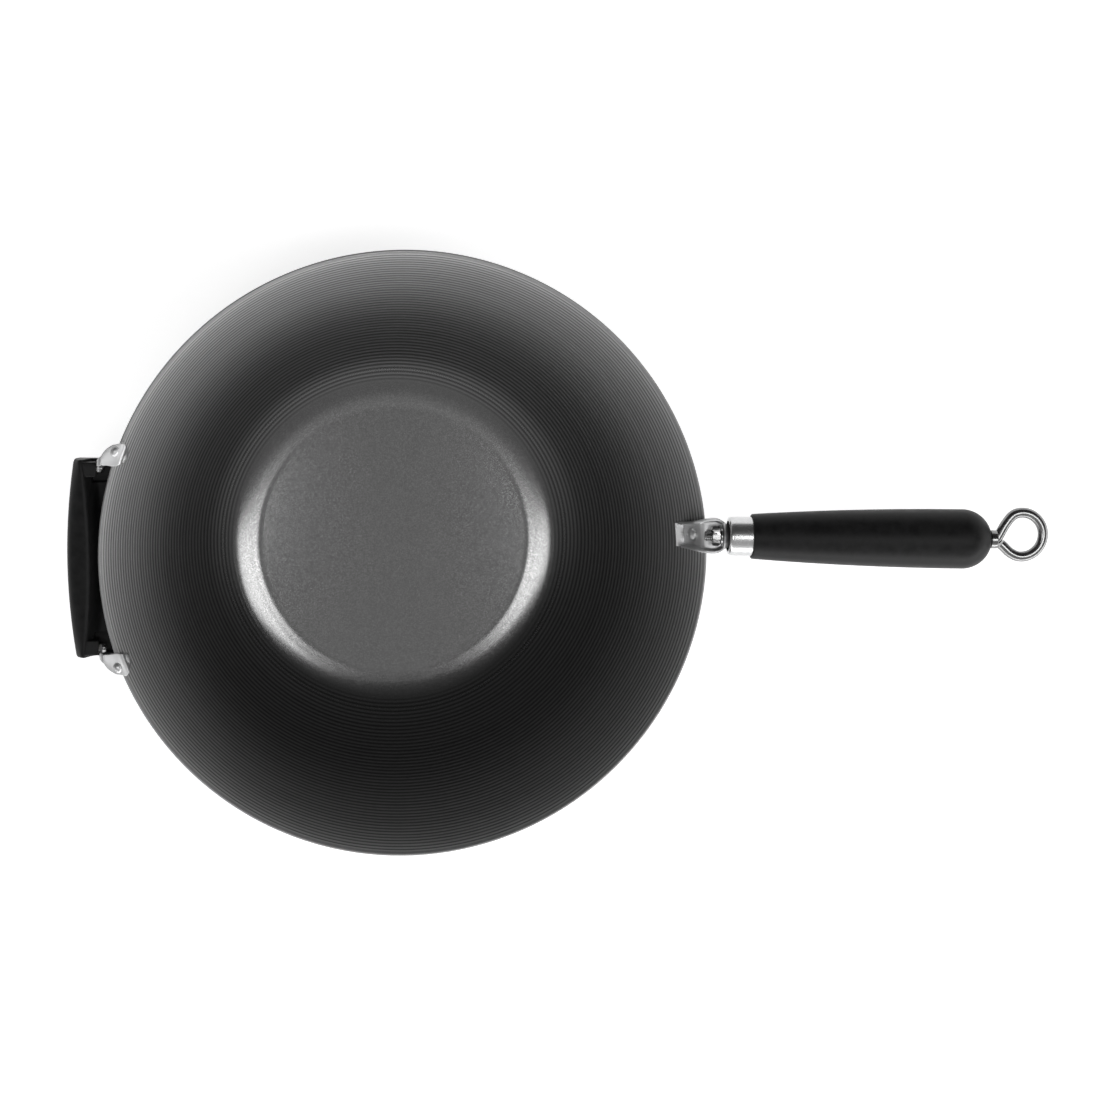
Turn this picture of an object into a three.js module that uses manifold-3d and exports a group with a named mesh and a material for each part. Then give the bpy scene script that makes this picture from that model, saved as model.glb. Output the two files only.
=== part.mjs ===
// Flat-bottom wok with a stick handle and a helper handle, in millimetres with +Z up.
// The origin is the centre of the underside of the flat base.
// +X runs along the stick handle, and +Y is on the left of someone who looks along +X.

import * as THREE from 'three';
import { mergeVertices } from 'three/addons/utils/BufferGeometryUtils.js';
import Module from 'manifold-3d';

const wasm = await Module();
wasm.setup();

const degrees = THREE.MathUtils.degToRad;

// Clearances between pieces
const SEAT_GAP = 0.3;
const HOLE_GAP = 0.3;

// Pan
const RIM_DIAMETER = 355.6;
const PAN_HEIGHT = 96;
const PAN_SHEET = 1.6;
const BASE_FLAT_DIAMETER = 160;
const FOOT_BEND_RADIUS = 52;
const FOOT_SLOPE = degrees(17);
const RIM_SLOPE = degrees(59.5);

// Stick handle, seen from above and from the side
const STICK_OFFSET = 10.6;
const STICK_SWING = degrees(-1.15);
const STICK_RISE = degrees(2);

// Stick bracket
const BRACKET_SHEET = 1.8;
const BRACKET_LIFT = 1.4;
const BRACKET_EDGE_BEND = 1.2;
const TONGUE_LENGTH = 17;
const TONGUE_HALF_WIDTH = 7.8;
const TONGUE_WALL_HEIGHT = 6.3;
const TONGUE_CORNER_SLIT = 1.2;
const CHANNEL_HALF_WIDTH = 10.5;
const CHANNEL_WALL_HEIGHT = 8.6;
const BEND_START = 0.6;
const BEND_REACH = 3;
const NOSE_START = 7.8;
const NOSE_DISC = 2;
const NOSE_TAPER = 4.2;
const NOSE_TIP_RADIUS = 4.6;

// Rod, nut and washer
const ROD_DIAMETER = 6;
const ROD_TIP = 4;
const ROD_END_CHAMFER = 0.75;
const NUT_ACROSS_FLATS = 10;
const NUT_THICKNESS = 5;
const WASHER_DIAMETER = 10;
const WASHER_THICKNESS = 1;

// Ferrule
const FERRULE_DIAMETER = 23.2;
const FERRULE_SHEET = 1.2;
const FERRULE_LENGTH = 21;
const FERRULE_SHOWN = 14;
const FERRULE_SETBACK = 0.8;
const FERRULE_SHOULDER = 4;

// Stick grip
const GRIP_LENGTH = 144.5;
const GRIP_FRONT_DIAMETER = 26.6;
const GRIP_END_DIAMETER = 35.2;
const GRIP_FRONT_EDGE = 1.4;
const GRIP_END_FLAT = 0.6;

// Hanging eye and its collar
const COLLAR_DIAMETER = 10.9;
const COLLAR_LENGTH = 4.4;
const COLLAR_EDGE = 0.6;
const EYE_WIRE_DIAMETER = 5.9;
const EYE_OUTER_DIAMETER = 32.4;
const EYE_SIDE_OFFSET = 2.4;
const EYE_NECK_OVERLAP = 2.4;

// Rivets through the wall
const RIVET_SHANK_DIAMETER = 4.6;
const RIVET_HEAD_DIAMETER = 7.2;
const RIVET_TAIL_HEIGHT = 1.4;
const RIVET_TAIL_FACE_DIAMETER = 5;
const STICK_RIVET_DROP = 7.6;
const STICK_RIVET_DOME = 2.2;
const HELPER_RIVET_DROP = 4.8;
const HELPER_RIVET_DOME = 1.2;

// Helper grip
const HELPER_LENGTH = 115;
const HELPER_REACH = 17.8;
const HELPER_END_SETBACK = 4.6;
const HELPER_CREST_REACH = 4.6;
const HELPER_CREST_SWEEP = 4.2;
const HELPER_CREST_DROP = 0.9;
const HELPER_CREST_FALL = 1.5;
const HELPER_EDGE_DROP = 7;
const HELPER_DEPTH = 23.5;
const HELPER_WEB_DROP = 14;
const HELPER_WALL_CLEARANCE = 3;
const HELPER_END_BEVEL = 1.4;
const POCKET_LENGTH = 12.2;
const POCKET_END_WALL = 1.8;
const POCKET_REACH = 3.2;
const POCKET_FLOOR_DROP = 19;
const BOSS_WIDTH = 9.4;
const BOSS_TOP_DROP = 3.6;

// Helper brackets
const HELPER_BRACKET_SPAN = 119.8;
const HELPER_SHEET = 1.6;
const HELPER_TONGUE_LENGTH = 8.6;
const HELPER_TONGUE_HALF_WIDTH = 6.5;
const HELPER_TONGUE_ROUNDING = 4.2;
const LEAF_BULGE = 9.6;
const TANG_WIDTH = 5.8;
const TANG_DROP = 13;
const TANG_SIDE_GAP = 0.6;

// Helper screws and inserts
const SCREW_DROP = 8.4;
const SCREW_SHANK_DIAMETER = 4;
const SCREW_HEAD_DIAMETER = 5.6;
const SCREW_HEAD_HEIGHT = 2.4;
const SCREW_FACE_DIAMETER = 4.2;
const SCREW_ENGAGEMENT = 7.5;
const INSERT_DIAMETER = 6.4;
const INSERT_LENGTH = 9;

// Facets of the round pieces
const PAN_SIDES = 80;
const HANDLE_SIDES = 32;
const SMALL_SIDES = 20;
const CURVE_STEPS = 10;

// Sizes that follow from the driving dimensions
const rimRadius = RIM_DIAMETER / 2;
const rodRadius = ROD_DIAMETER / 2;
const rodHoleRadius = rodRadius + HOLE_GAP;
const rivetShankRadius = RIVET_SHANK_DIAMETER / 2;
const rivetHoleRadius = rivetShankRadius + HOLE_GAP;
const floorDrop = Math.max(NUT_ACROSS_FLATS, WASHER_DIAMETER) / 2 + SEAT_GAP + BRACKET_SHEET;
const noseRadius = floorDrop;
const noseEnd = NOSE_START + NOSE_DISC + NOSE_TAPER;
const washerStart = NOSE_START - SEAT_GAP - WASHER_THICKNESS;
const nutStart = washerStart - SEAT_GAP - NUT_THICKNESS;
const rodStart = nutStart - ROD_TIP;
const ferruleStart = NOSE_START + NOSE_DISC + FERRULE_SETBACK;
const ferruleEnd = ferruleStart + FERRULE_LENGTH;
const gripStart = ferruleStart + FERRULE_SHOWN;
const gripEnd = gripStart + GRIP_LENGTH;
const socketEnd = ferruleEnd + SEAT_GAP;
const collarStart = gripEnd + SEAT_GAP;
const collarEnd = collarStart + COLLAR_LENGTH;
const eyeStart = collarEnd + SEAT_GAP;

// Geometry helpers

function solidOf(geometry) {
  const bare = geometry.clone();
  bare.deleteAttribute('normal');
  bare.deleteAttribute('uv');
  const merged = mergeVertices(bare);
  const vertProperties = new Float32Array(merged.attributes.position.array);
  const triVerts = new Uint32Array(merged.index.array);
  return new wasm.Manifold(new wasm.Mesh({ numProp: 3, vertProperties, triVerts }));
}

function geometryOf(solid) {
  const mesh = solid.getMesh();
  const geometry = new THREE.BufferGeometry();
  geometry.setAttribute('position', new THREE.BufferAttribute(mesh.vertProperties, 3));
  geometry.setIndex(new THREE.BufferAttribute(mesh.triVerts, 1));
  geometry.computeVertexNormals();
  return geometry;
}

// Turns a profile of [radius, height] points about the Z axis
function turned(profile, sides) {
  const points = profile.map(([radius, height]) => new THREE.Vector2(radius, height));
  return new THREE.LatheGeometry(points, sides).rotateX(Math.PI / 2);
}

// Turns a closed profile that stands clear of the axis
function turnedRing(profile, sides) {
  return turned([...profile, profile[0]], sides);
}

function roundBar(radius, start, end, sides) {
  return turned([[0, start], [radius, start], [radius, end], [0, end]], sides);
}

// Moves geometry so that its +Z lies along a direction and its origin at a point
function aimed(geometry, point, direction) {
  const turn = new THREE.Quaternion().setFromUnitVectors(new THREE.Vector3(0, 0, 1), direction);
  geometry.applyQuaternion(turn);
  return geometry.translate(point.x, point.y, point.z);
}

function block(low, high) {
  const size = high.clone().sub(low);
  const middle = low.clone().add(high).multiplyScalar(0.5);
  return new THREE.BoxGeometry(size.x, size.y, size.z).translate(middle.x, middle.y, middle.z);
}

// A block set in a station's frame, given by its limits across, up and along
function stationBlock(station, low, high) {
  const along = new THREE.Vector3().crossVectors(station.across, station.up);
  const frame = new THREE.Matrix4().makeBasis(station.across, station.up, along);
  frame.setPosition(station.at);
  return block(low, high).applyMatrix4(frame);
}

// Skins a row of stations, each with a place, two directions and an outline of [across, up] points
function loft(stations) {
  const count = stations[0].outline.length;
  const positions = [];
  const triangles = [];
  for (const { at, across, up, outline } of stations) {
    for (const [sideways, height] of outline) {
      const point = at.clone().addScaledVector(across, sideways).addScaledVector(up, height);
      positions.push(point.x, point.y, point.z);
    }
  }
  for (let ring = 0; ring < stations.length - 1; ring += 1) {
    for (let corner = 0; corner < count; corner += 1) {
      const next = (corner + 1) % count;
      const near = ring * count;
      const far = near + count;
      triangles.push(near + corner, near + next, far + next);
      triangles.push(near + corner, far + next, far + corner);
    }
  }
  const last = (stations.length - 1) * count;
  const startCap = capOf(stations[0].outline);
  const endCap = capOf(stations[stations.length - 1].outline);
  startCap.forEach(([a, b, c]) => triangles.push(a, c, b));
  endCap.forEach(([a, b, c]) => triangles.push(last + a, last + b, last + c));
  const geometry = new THREE.BufferGeometry();
  geometry.setAttribute('position', new THREE.Float32BufferAttribute(positions, 3));
  geometry.setIndex(triangles);
  geometry.computeVertexNormals();
  return geometry;
}

function capOf(outline) {
  const contour = outline.map(([across, up]) => new THREE.Vector2(across, up));
  return THREE.ShapeUtils.triangulateShape(contour, []);
}

// The same geometry on the other side of the XZ plane
function mirroredAcross(geometry) {
  const copy = geometry.clone().scale(1, -1, 1);
  const index = copy.index.array;
  for (let corner = 0; corner < index.length; corner += 3) {
    [index[corner + 1], index[corner + 2]] = [index[corner + 2], index[corner + 1]];
  }
  copy.computeVertexNormals();
  return copy;
}

// Pan profile: a flat base, a foot bend and a wall that steepens up to the rim

const footEnd = new THREE.Vector2(
  BASE_FLAT_DIAMETER / 2 + FOOT_BEND_RADIUS * Math.sin(FOOT_SLOPE),
  PAN_SHEET + FOOT_BEND_RADIUS * (1 - Math.cos(FOOT_SLOPE)),
);
const rimInside = new THREE.Vector2(rimRadius - PAN_SHEET * Math.sin(RIM_SLOPE), PAN_HEIGHT);

// The wall's curve is bent towards the point where the tangents of its two ends cross
function tangentCrossing() {
  const run = rimInside.x - footEnd.x;
  const rise = rimInside.y - footEnd.y;
  const reach = (rise - run * Math.tan(RIM_SLOPE)) / (Math.tan(FOOT_SLOPE) - Math.tan(RIM_SLOPE));
  return new THREE.Vector2(footEnd.x + reach, footEnd.y + reach * Math.tan(FOOT_SLOPE));
}

const wallCurve = new THREE.QuadraticBezierCurve(footEnd, tangentCrossing(), rimInside);

// The inner face of the wall at a distance below the rim, measured along the wall
function wallPlace(drop) {
  const share = 1 - drop / wallCurve.getLength();
  const point = wallCurve.getPointAt(share);
  const upward = wallCurve.getTangentAt(share);
  return { point, upward, inward: new THREE.Vector2(-upward.y, upward.x) };
}

function panProfile() {
  const baseRadius = BASE_FLAT_DIAMETER / 2;
  const bendCentre = PAN_SHEET + FOOT_BEND_RADIUS;
  const outside = [[0, 0], [baseRadius, 0]];
  const inside = [[0, PAN_SHEET], [baseRadius, PAN_SHEET]];
  const footSteps = 3;
  for (let step = 1; step < footSteps; step += 1) {
    const angle = (FOOT_SLOPE * step) / footSteps;
    const outerBend = FOOT_BEND_RADIUS + PAN_SHEET;
    outside.push([
      baseRadius + outerBend * Math.sin(angle),
      bendCentre - outerBend * Math.cos(angle),
    ]);
    inside.push([
      baseRadius + FOOT_BEND_RADIUS * Math.sin(angle),
      bendCentre - FOOT_BEND_RADIUS * Math.cos(angle),
    ]);
  }
  for (let step = 0; step <= CURVE_STEPS; step += 1) {
    const { point, inward } = wallPlace(wallCurve.getLength() * (1 - step / CURVE_STEPS));
    outside.push([point.x - inward.x * PAN_SHEET, point.y - inward.y * PAN_SHEET]);
    inside.push([point.x, point.y]);
  }
  return [...outside, ...inside.reverse()];
}

// A frame on the inner face of the wall at a bearing round the pan: its place, the way up the wall,
// the way out of the wall and the way round the rim
function wallFrame(bearing, drop) {
  const { point, upward, inward } = wallPlace(drop);
  const radial = new THREE.Vector3(Math.cos(bearing), Math.sin(bearing), 0);
  const lift = (flat) => radial.clone().multiplyScalar(flat.x).setZ(flat.y);
  const round = new THREE.Vector3(-Math.sin(bearing), Math.cos(bearing), 0);
  return { at: lift(point), climb: lift(upward), out: lift(inward), round };
}

// A flat tongue inside the round wall touches at its edges, so its middle stands off by its bow
function tongueStandOff(halfWidth) {
  return SEAT_GAP + halfWidth ** 2 / (2 * (rimRadius - halfWidth));
}

// Stations of a strip that lies on the wall: place, across and up, from the tongue's end to the bend
function tongueStation(bearing, drop, standOff) {
  const { at, out, round } = wallFrame(bearing, drop);
  return { at: at.addScaledVector(out, standOff), across: round, up: out };
}

// Stations of the bend over the rim, from the tongue to a station outside the rim
function bendStations(bearing, standOff, outer, steps) {
  const inner = tongueStation(bearing, BEND_START, standOff);
  const { climb } = wallFrame(bearing, BEND_START);
  const corner = inner.at.clone().addScaledVector(climb, (outer.at.z - inner.at.z) / climb.z);
  const path = new THREE.QuadraticBezierCurve3(inner.at, corner, outer.at);
  const stations = [];
  for (let step = 0; step <= steps; step += 1) {
    const share = step / steps;
    const across = inner.across.clone().lerp(outer.across, share).normalize();
    const up = new THREE.Vector3().crossVectors(path.getTangent(share), across).normalize();
    stations.push({ at: path.getPoint(share), across, up });
  }
  return stations;
}

// Rivets through a tongue and the wall

function rivetGeometry(standOff, tongueSheet, domeHeight) {
  const headRadius = RIVET_HEAD_DIAMETER / 2;
  const headBase = standOff + tongueSheet + SEAT_GAP;
  const tailBase = -PAN_SHEET - SEAT_GAP;
  const domeSteps = 4;
  const profile = [
    [0, tailBase - RIVET_TAIL_HEIGHT],
    [RIVET_TAIL_FACE_DIAMETER / 2, tailBase - RIVET_TAIL_HEIGHT],
    [headRadius, tailBase],
    [rivetShankRadius, tailBase],
    [rivetShankRadius, headBase],
  ];
  for (let step = 0; step <= domeSteps; step += 1) {
    const angle = (Math.PI / 2) * (step / domeSteps);
    const radius = step === domeSteps ? 0 : headRadius * Math.cos(angle);
    profile.push([radius, headBase + domeHeight * Math.sin(angle)]);
  }
  return turned(profile, SMALL_SIDES);
}

function rivetHole(bearing, drop) {
  const { at, out } = wallFrame(bearing, drop);
  const reach = 4 * (PAN_SHEET + BRACKET_SHEET);
  return solidOf(aimed(roundBar(rivetHoleRadius, -reach, reach, SMALL_SIDES), at, out));
}

function placedRivet(bearing, drop, standOff, tongueSheet, domeHeight) {
  const { at, out } = wallFrame(bearing, drop);
  return aimed(rivetGeometry(standOff, tongueSheet, domeHeight), at, out);
}

const stickBearing = Math.asin(STICK_OFFSET / rimRadius);
const helperBearing = Math.PI - Math.asin(HELPER_BRACKET_SPAN / 2 / rimRadius);

function panGeometry() {
  return geometryOf(
    solidOf(turned(panProfile(), PAN_SIDES))
      .subtract(rivetHole(stickBearing, STICK_RIVET_DROP))
      .subtract(rivetHole(helperBearing, HELPER_RIVET_DROP))
      .subtract(rivetHole(-helperBearing, HELPER_RIVET_DROP)),
  );
}

// Stick handle frame: its local +Z runs out along the handle's axis from above the rim,
// its local +Y stays level and its local +X points down

const stick = new THREE.Group();
stick.position.set(rimRadius, STICK_OFFSET, PAN_HEIGHT + BRACKET_LIFT + floorDrop);
stick.rotation.set(0, Math.PI / 2 - STICK_RISE, STICK_SWING, 'ZYX');
stick.updateMatrixWorld();

// Stick bracket: tongue on the wall, bend over the rim, open channel and tapered nose

function channelOutline(halfWidth, wallHeight) {
  const inside = halfWidth - BRACKET_SHEET;
  return [
    [-halfWidth, BRACKET_EDGE_BEND],
    [-halfWidth + BRACKET_EDGE_BEND, 0],
    [halfWidth - BRACKET_EDGE_BEND, 0],
    [halfWidth, BRACKET_EDGE_BEND],
    [halfWidth, wallHeight],
    [inside, wallHeight],
    [inside, BRACKET_SHEET],
    [-inside, BRACKET_SHEET],
    [-inside, wallHeight],
    [-halfWidth, wallHeight],
  ];
}

function channelStation(distance) {
  const at = new THREE.Vector3(floorDrop, 0, distance).applyMatrix4(stick.matrixWorld);
  const along = new THREE.Vector3(0, 0, 1).transformDirection(stick.matrixWorld);
  const across = new THREE.Vector3(0, 1, 0).transformDirection(stick.matrixWorld);
  return { at, across, up: new THREE.Vector3().crossVectors(along, across) };
}

function noseRadiusAt(distance) {
  const share = (distance - NOSE_START - NOSE_DISC) / NOSE_TAPER;
  return THREE.MathUtils.lerp(noseRadius, NOSE_TIP_RADIUS, THREE.MathUtils.clamp(share, 0, 1));
}

function stickBracketGeometry() {
  const standOff = tongueStandOff(CHANNEL_HALF_WIDTH);
  const bendSteps = 4;
  const channelStart = TONGUE_LENGTH - BRACKET_SHEET - TONGUE_CORNER_SLIT;
  const tongueEnd = tongueStation(stickBearing, TONGUE_LENGTH, standOff);
  const walled = [
    tongueStation(stickBearing, channelStart, standOff),
    tongueStation(stickBearing, channelStart / 2, standOff),
    ...bendStations(stickBearing, standOff, channelStation(BEND_REACH), bendSteps),
    channelStation((BEND_REACH + NOSE_START) / 2),
    channelStation(NOSE_START + NOSE_DISC / 2),
  ];
  const widest = 2 + bendSteps;
  walled.forEach((station, index) => {
    const inward = Math.min(1, index / widest);
    const outward = Math.max(0, (index - widest) / (walled.length - 1 - widest));
    const flare = THREE.MathUtils.lerp(TONGUE_HALF_WIDTH, CHANNEL_HALF_WIDTH, inward);
    const height = THREE.MathUtils.lerp(TONGUE_WALL_HEIGHT, CHANNEL_WALL_HEIGHT, inward);
    const halfWidth = THREE.MathUtils.lerp(flare, noseRadius, outward);
    station.outline = channelOutline(halfWidth, THREE.MathUtils.lerp(height, noseRadius, outward));
  });
  const tabHalf = TONGUE_HALF_WIDTH - BRACKET_EDGE_BEND;
  const floorEnd = stationBlock(
    tongueEnd,
    new THREE.Vector3(-tabHalf, 0, 0),
    new THREE.Vector3(tabHalf, BRACKET_SHEET, BRACKET_SHEET + 2 * TONGUE_CORNER_SLIT),
  );
  const endTab = stationBlock(
    tongueEnd,
    new THREE.Vector3(-tabHalf, 0, 0),
    new THREE.Vector3(tabHalf, TONGUE_WALL_HEIGHT, BRACKET_SHEET),
  );
  const nose = turnedRing(
    [
      [rodHoleRadius, NOSE_START],
      [noseRadius, NOSE_START],
      [noseRadius, NOSE_START + NOSE_DISC],
      [NOSE_TIP_RADIUS, noseEnd],
      [rodHoleRadius, noseEnd],
    ],
    HANDLE_SIDES,
  ).applyMatrix4(stick.matrixWorld);
  const rodPath = roundBar(rodHoleRadius, rodStart, noseEnd, SMALL_SIDES).applyMatrix4(stick.matrixWorld);
  return geometryOf(
    solidOf(loft(walled))
      .subtract(solidOf(rodPath))
      .add(solidOf(nose))
      .add(solidOf(floorEnd))
      .add(solidOf(endTab))
      .subtract(rivetHole(stickBearing, STICK_RIVET_DROP)),
  );
}

// Pieces threaded on the handle's axis

function nutGeometry() {
  const corner = NUT_ACROSS_FLATS / Math.sqrt(3);
  const outline = new THREE.Shape();
  for (let side = 0; side < 6; side += 1) {
    const angle = degrees(30 + 60 * side);
    const point = new THREE.Vector2(corner * Math.cos(angle), corner * Math.sin(angle));
    if (side === 0) outline.moveTo(point.x, point.y);
    else outline.lineTo(point.x, point.y);
  }
  outline.closePath();
  outline.holes.push(new THREE.Path().absarc(0, 0, rodHoleRadius, 0, 2 * Math.PI, true));
  const settings = { depth: NUT_THICKNESS, bevelEnabled: false, curveSegments: SMALL_SIDES };
  return new THREE.ExtrudeGeometry(outline, settings).translate(0, 0, nutStart);
}

function washerGeometry() {
  const end = washerStart + WASHER_THICKNESS;
  const rim = WASHER_DIAMETER / 2;
  const profile = [[rodHoleRadius, washerStart], [rim, washerStart], [rim, end], [rodHoleRadius, end]];
  return turnedRing(profile, SMALL_SIDES);
}

function ferruleGeometry() {
  const outer = FERRULE_DIAMETER / 2;
  const inner = outer - FERRULE_SHEET;
  const mouth = noseRadiusAt(ferruleStart) + SEAT_GAP;
  const lip = mouth + FERRULE_SHEET;
  const shoulderEnd = ferruleStart + FERRULE_SHOULDER;
  const steps = 4;
  const outside = [];
  const inside = [];
  for (let step = 0; step <= steps; step += 1) {
    const angle = (Math.PI / 2) * (step / steps);
    const height = shoulderEnd - FERRULE_SHOULDER * Math.cos(angle);
    outside.push([lip + (outer - lip) * Math.sin(angle), height]);
    inside.push([mouth + (inner - mouth) * Math.sin(angle), height + FERRULE_SHEET * Math.sin(angle)]);
  }
  outside.push([outer, ferruleEnd]);
  inside.push([inner, ferruleEnd]);
  return turnedRing([...outside, ...inside.reverse()], HANDLE_SIDES);
}

function gripGeometry() {
  const front = GRIP_FRONT_DIAMETER / 2;
  const end = GRIP_END_DIAMETER / 2;
  const socket = FERRULE_DIAMETER / 2 + HOLE_GAP;
  const flat = COLLAR_DIAMETER / 2 + GRIP_END_FLAT;
  const domeCentre = gripEnd - Math.sqrt(end ** 2 - flat ** 2);
  const bodyStart = new THREE.Vector2(front, gripStart + GRIP_FRONT_EDGE);
  const bodyEnd = new THREE.Vector2(end, domeCentre);
  const bodyBend = new THREE.Vector2(end, (gripStart + domeCentre) / 2);
  const body = new THREE.QuadraticBezierCurve(bodyStart, bodyBend, bodyEnd).getPoints(CURVE_STEPS);
  const domeAngle = Math.acos(flat / end);
  const domeSteps = 6;
  const profile = [
    [socket, gripStart + GRIP_FRONT_EDGE],
    [(socket + front) / 2, gripStart],
    ...body.map((point) => [point.x, point.y]),
  ];
  for (let step = 1; step <= domeSteps; step += 1) {
    const angle = (domeAngle * step) / domeSteps;
    profile.push([end * Math.cos(angle), domeCentre + end * Math.sin(angle)]);
  }
  profile.push([rodHoleRadius, gripEnd], [rodHoleRadius, socketEnd], [socket, socketEnd]);
  return turnedRing(profile, HANDLE_SIDES);
}

function collarGeometry() {
  const rim = COLLAR_DIAMETER / 2;
  const profile = [
    [rodHoleRadius, collarStart],
    [rim - COLLAR_EDGE, collarStart],
    [rim, collarStart + COLLAR_EDGE],
    [rim, collarEnd - COLLAR_EDGE],
    [rim - COLLAR_EDGE, collarEnd],
    [rodHoleRadius, collarEnd],
  ];
  return turnedRing(profile, HANDLE_SIDES);
}

// The eye is a ring flattened where it bears on the collar, on the end of the long rod
function eyeBoltGeometry() {
  const wire = EYE_WIRE_DIAMETER / 2;
  const ringRadius = EYE_OUTER_DIAMETER / 2 - wire;
  const ringCentre = eyeStart + ringRadius + wire - EYE_NECK_OVERLAP;
  const wireSides = 12;
  const ringSides = 40;
  const ring = new THREE.TorusGeometry(ringRadius, wire, wireSides, ringSides).rotateY(Math.PI / 2);
  ring.translate(0, EYE_SIDE_OFFSET, ringCentre);
  const behind = block(
    new THREE.Vector3(-EYE_OUTER_DIAMETER, -EYE_OUTER_DIAMETER, eyeStart - EYE_OUTER_DIAMETER),
    new THREE.Vector3(EYE_OUTER_DIAMETER, EYE_OUTER_DIAMETER, eyeStart),
  );
  const rod = turned(
    [
      [0, rodStart],
      [rodRadius - ROD_END_CHAMFER, rodStart],
      [rodRadius, rodStart + ROD_END_CHAMFER],
      [rodRadius, eyeStart + wire],
      [0, eyeStart + wire],
    ],
    SMALL_SIDES,
  );
  return geometryOf(solidOf(ring).subtract(solidOf(behind)).add(solidOf(rod)));
}

// Helper grip: a long moulded lug, given by sections along Y.
// Its section is drawn as [distance out past the rim's radius, height above the rim].

const helperHalf = HELPER_LENGTH / 2;
const tangSide = helperHalf - POCKET_END_WALL - TANG_SIDE_GAP - TANG_WIDTH / 2;
const tangOuterFace = 0;
const bossFace = tangOuterFace + SEAT_GAP;
const screwHeight = -SCREW_DROP;

// The web's inner edge follows the wall at the web's height, a clearance away from its outer face
function webReach(side) {
  const share = (PAN_HEIGHT - HELPER_WEB_DROP - footEnd.y) / (PAN_HEIGHT - footEnd.y);
  const { point, inward } = wallPlace(wallCurve.getLength() * (1 - share));
  const wallRadius = point.x - inward.x * PAN_SHEET;
  return Math.sqrt((wallRadius + HELPER_WALL_CLEARANCE) ** 2 - side ** 2) - rimRadius;
}

function helperOutline(side) {
  const share = (side / helperHalf) ** 2;
  const outer = HELPER_REACH - HELPER_END_SETBACK * share;
  const crest = HELPER_CREST_REACH + HELPER_CREST_SWEEP * share;
  const top = -HELPER_CREST_DROP - HELPER_CREST_FALL * share;
  const edge = -HELPER_EDGE_DROP;
  const bottom = -HELPER_DEPTH;
  const web = -HELPER_WEB_DROP;
  const inner = webReach(side);
  const roundOff = (top - edge) / 4;
  const crestFoot = crest + (top - web) / 2 - (top - web);
  return [
    [inner, (web + bottom) / 2],
    [crest, bottom + roundOff],
    [outer - 3 * roundOff, bottom],
    [outer - roundOff, bottom + 2 * roundOff],
    [outer, (edge + bottom) / 2],
    [outer, edge - roundOff],
    [outer - roundOff, edge + roundOff],
    [(crest + outer) / 2, top - roundOff],
    [crest + roundOff, top],
    [crest, top - roundOff / 2],
    [(crest + crestFoot) / 2, (top + web) / 2 - roundOff],
    [crestFoot, web],
    [inner, web],
  ];
}

function helperStation(side, inset) {
  const middle = [HELPER_CREST_REACH, -HELPER_DEPTH / 2];
  const outline = helperOutline(side).map(([out, height]) => {
    const pull = 1 - inset / HELPER_REACH;
    return [middle[0] + (out - middle[0]) * pull, middle[1] + (height - middle[1]) * pull];
  });
  return {
    at: new THREE.Vector3(-rimRadius, side, PAN_HEIGHT),
    across: new THREE.Vector3(-1, 0, 0),
    up: new THREE.Vector3(0, 0, 1),
    outline,
  };
}

// A block in the helper handle's own terms: [out past the rim's radius, side, height above the rim]
function helperBlock(low, high) {
  return block(
    new THREE.Vector3(-rimRadius - high[0], low[1], PAN_HEIGHT + low[2]),
    new THREE.Vector3(-rimRadius - low[0], high[1], PAN_HEIGHT + high[2]),
  );
}

// A bar along the outward direction at a screw's place
function screwAxisBar(profile) {
  const point = new THREE.Vector3(-rimRadius, tangSide, PAN_HEIGHT + screwHeight);
  return aimed(turned(profile, SMALL_SIDES), point, new THREE.Vector3(-1, 0, 0));
}

function helperGripGeometry() {
  const steps = 12;
  const stations = [helperStation(-helperHalf, HELPER_END_BEVEL)];
  for (let step = 0; step <= steps; step += 1) {
    const reach = helperHalf - HELPER_END_BEVEL;
    stations.push(helperStation(reach * ((2 * step) / steps - 1), 0));
  }
  stations.push(helperStation(helperHalf, HELPER_END_BEVEL));
  const pocketEnd = helperHalf - POCKET_END_WALL;
  const pocket = helperBlock(
    [-rimRadius / 2, pocketEnd - POCKET_LENGTH, -POCKET_FLOOR_DROP],
    [POCKET_REACH, pocketEnd, HELPER_DEPTH],
  );
  const bossReach = bossFace + INSERT_LENGTH;
  const boss = helperBlock(
    [bossFace, tangSide - BOSS_WIDTH / 2, -POCKET_FLOOR_DROP - SEAT_GAP],
    [bossReach, Math.min(tangSide + BOSS_WIDTH / 2, pocketEnd + SEAT_GAP), -BOSS_TOP_DROP],
  );
  const insertHole = screwAxisBar([
    [0, bossFace - SEAT_GAP],
    [INSERT_DIAMETER / 2 + HOLE_GAP, bossFace - SEAT_GAP],
    [INSERT_DIAMETER / 2 + HOLE_GAP, bossReach + SEAT_GAP],
    [0, bossReach + SEAT_GAP],
  ]);
  let lug = solidOf(loft(stations));
  for (const place of [(geometry) => geometry, mirroredAcross]) {
    lug = lug.subtract(solidOf(place(pocket)));
    lug = lug.add(solidOf(place(boss)));
    lug = lug.subtract(solidOf(place(insertHole)));
  }
  return geometryOf(lug);
}

// Helper bracket on the left: tongue on the wall, bend over the rim, leaf, and tang bent down

function stripOutline(halfWidth) {
  return [[-halfWidth, 0], [halfWidth, 0], [halfWidth, HELPER_SHEET], [-halfWidth, HELPER_SHEET]];
}

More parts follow.
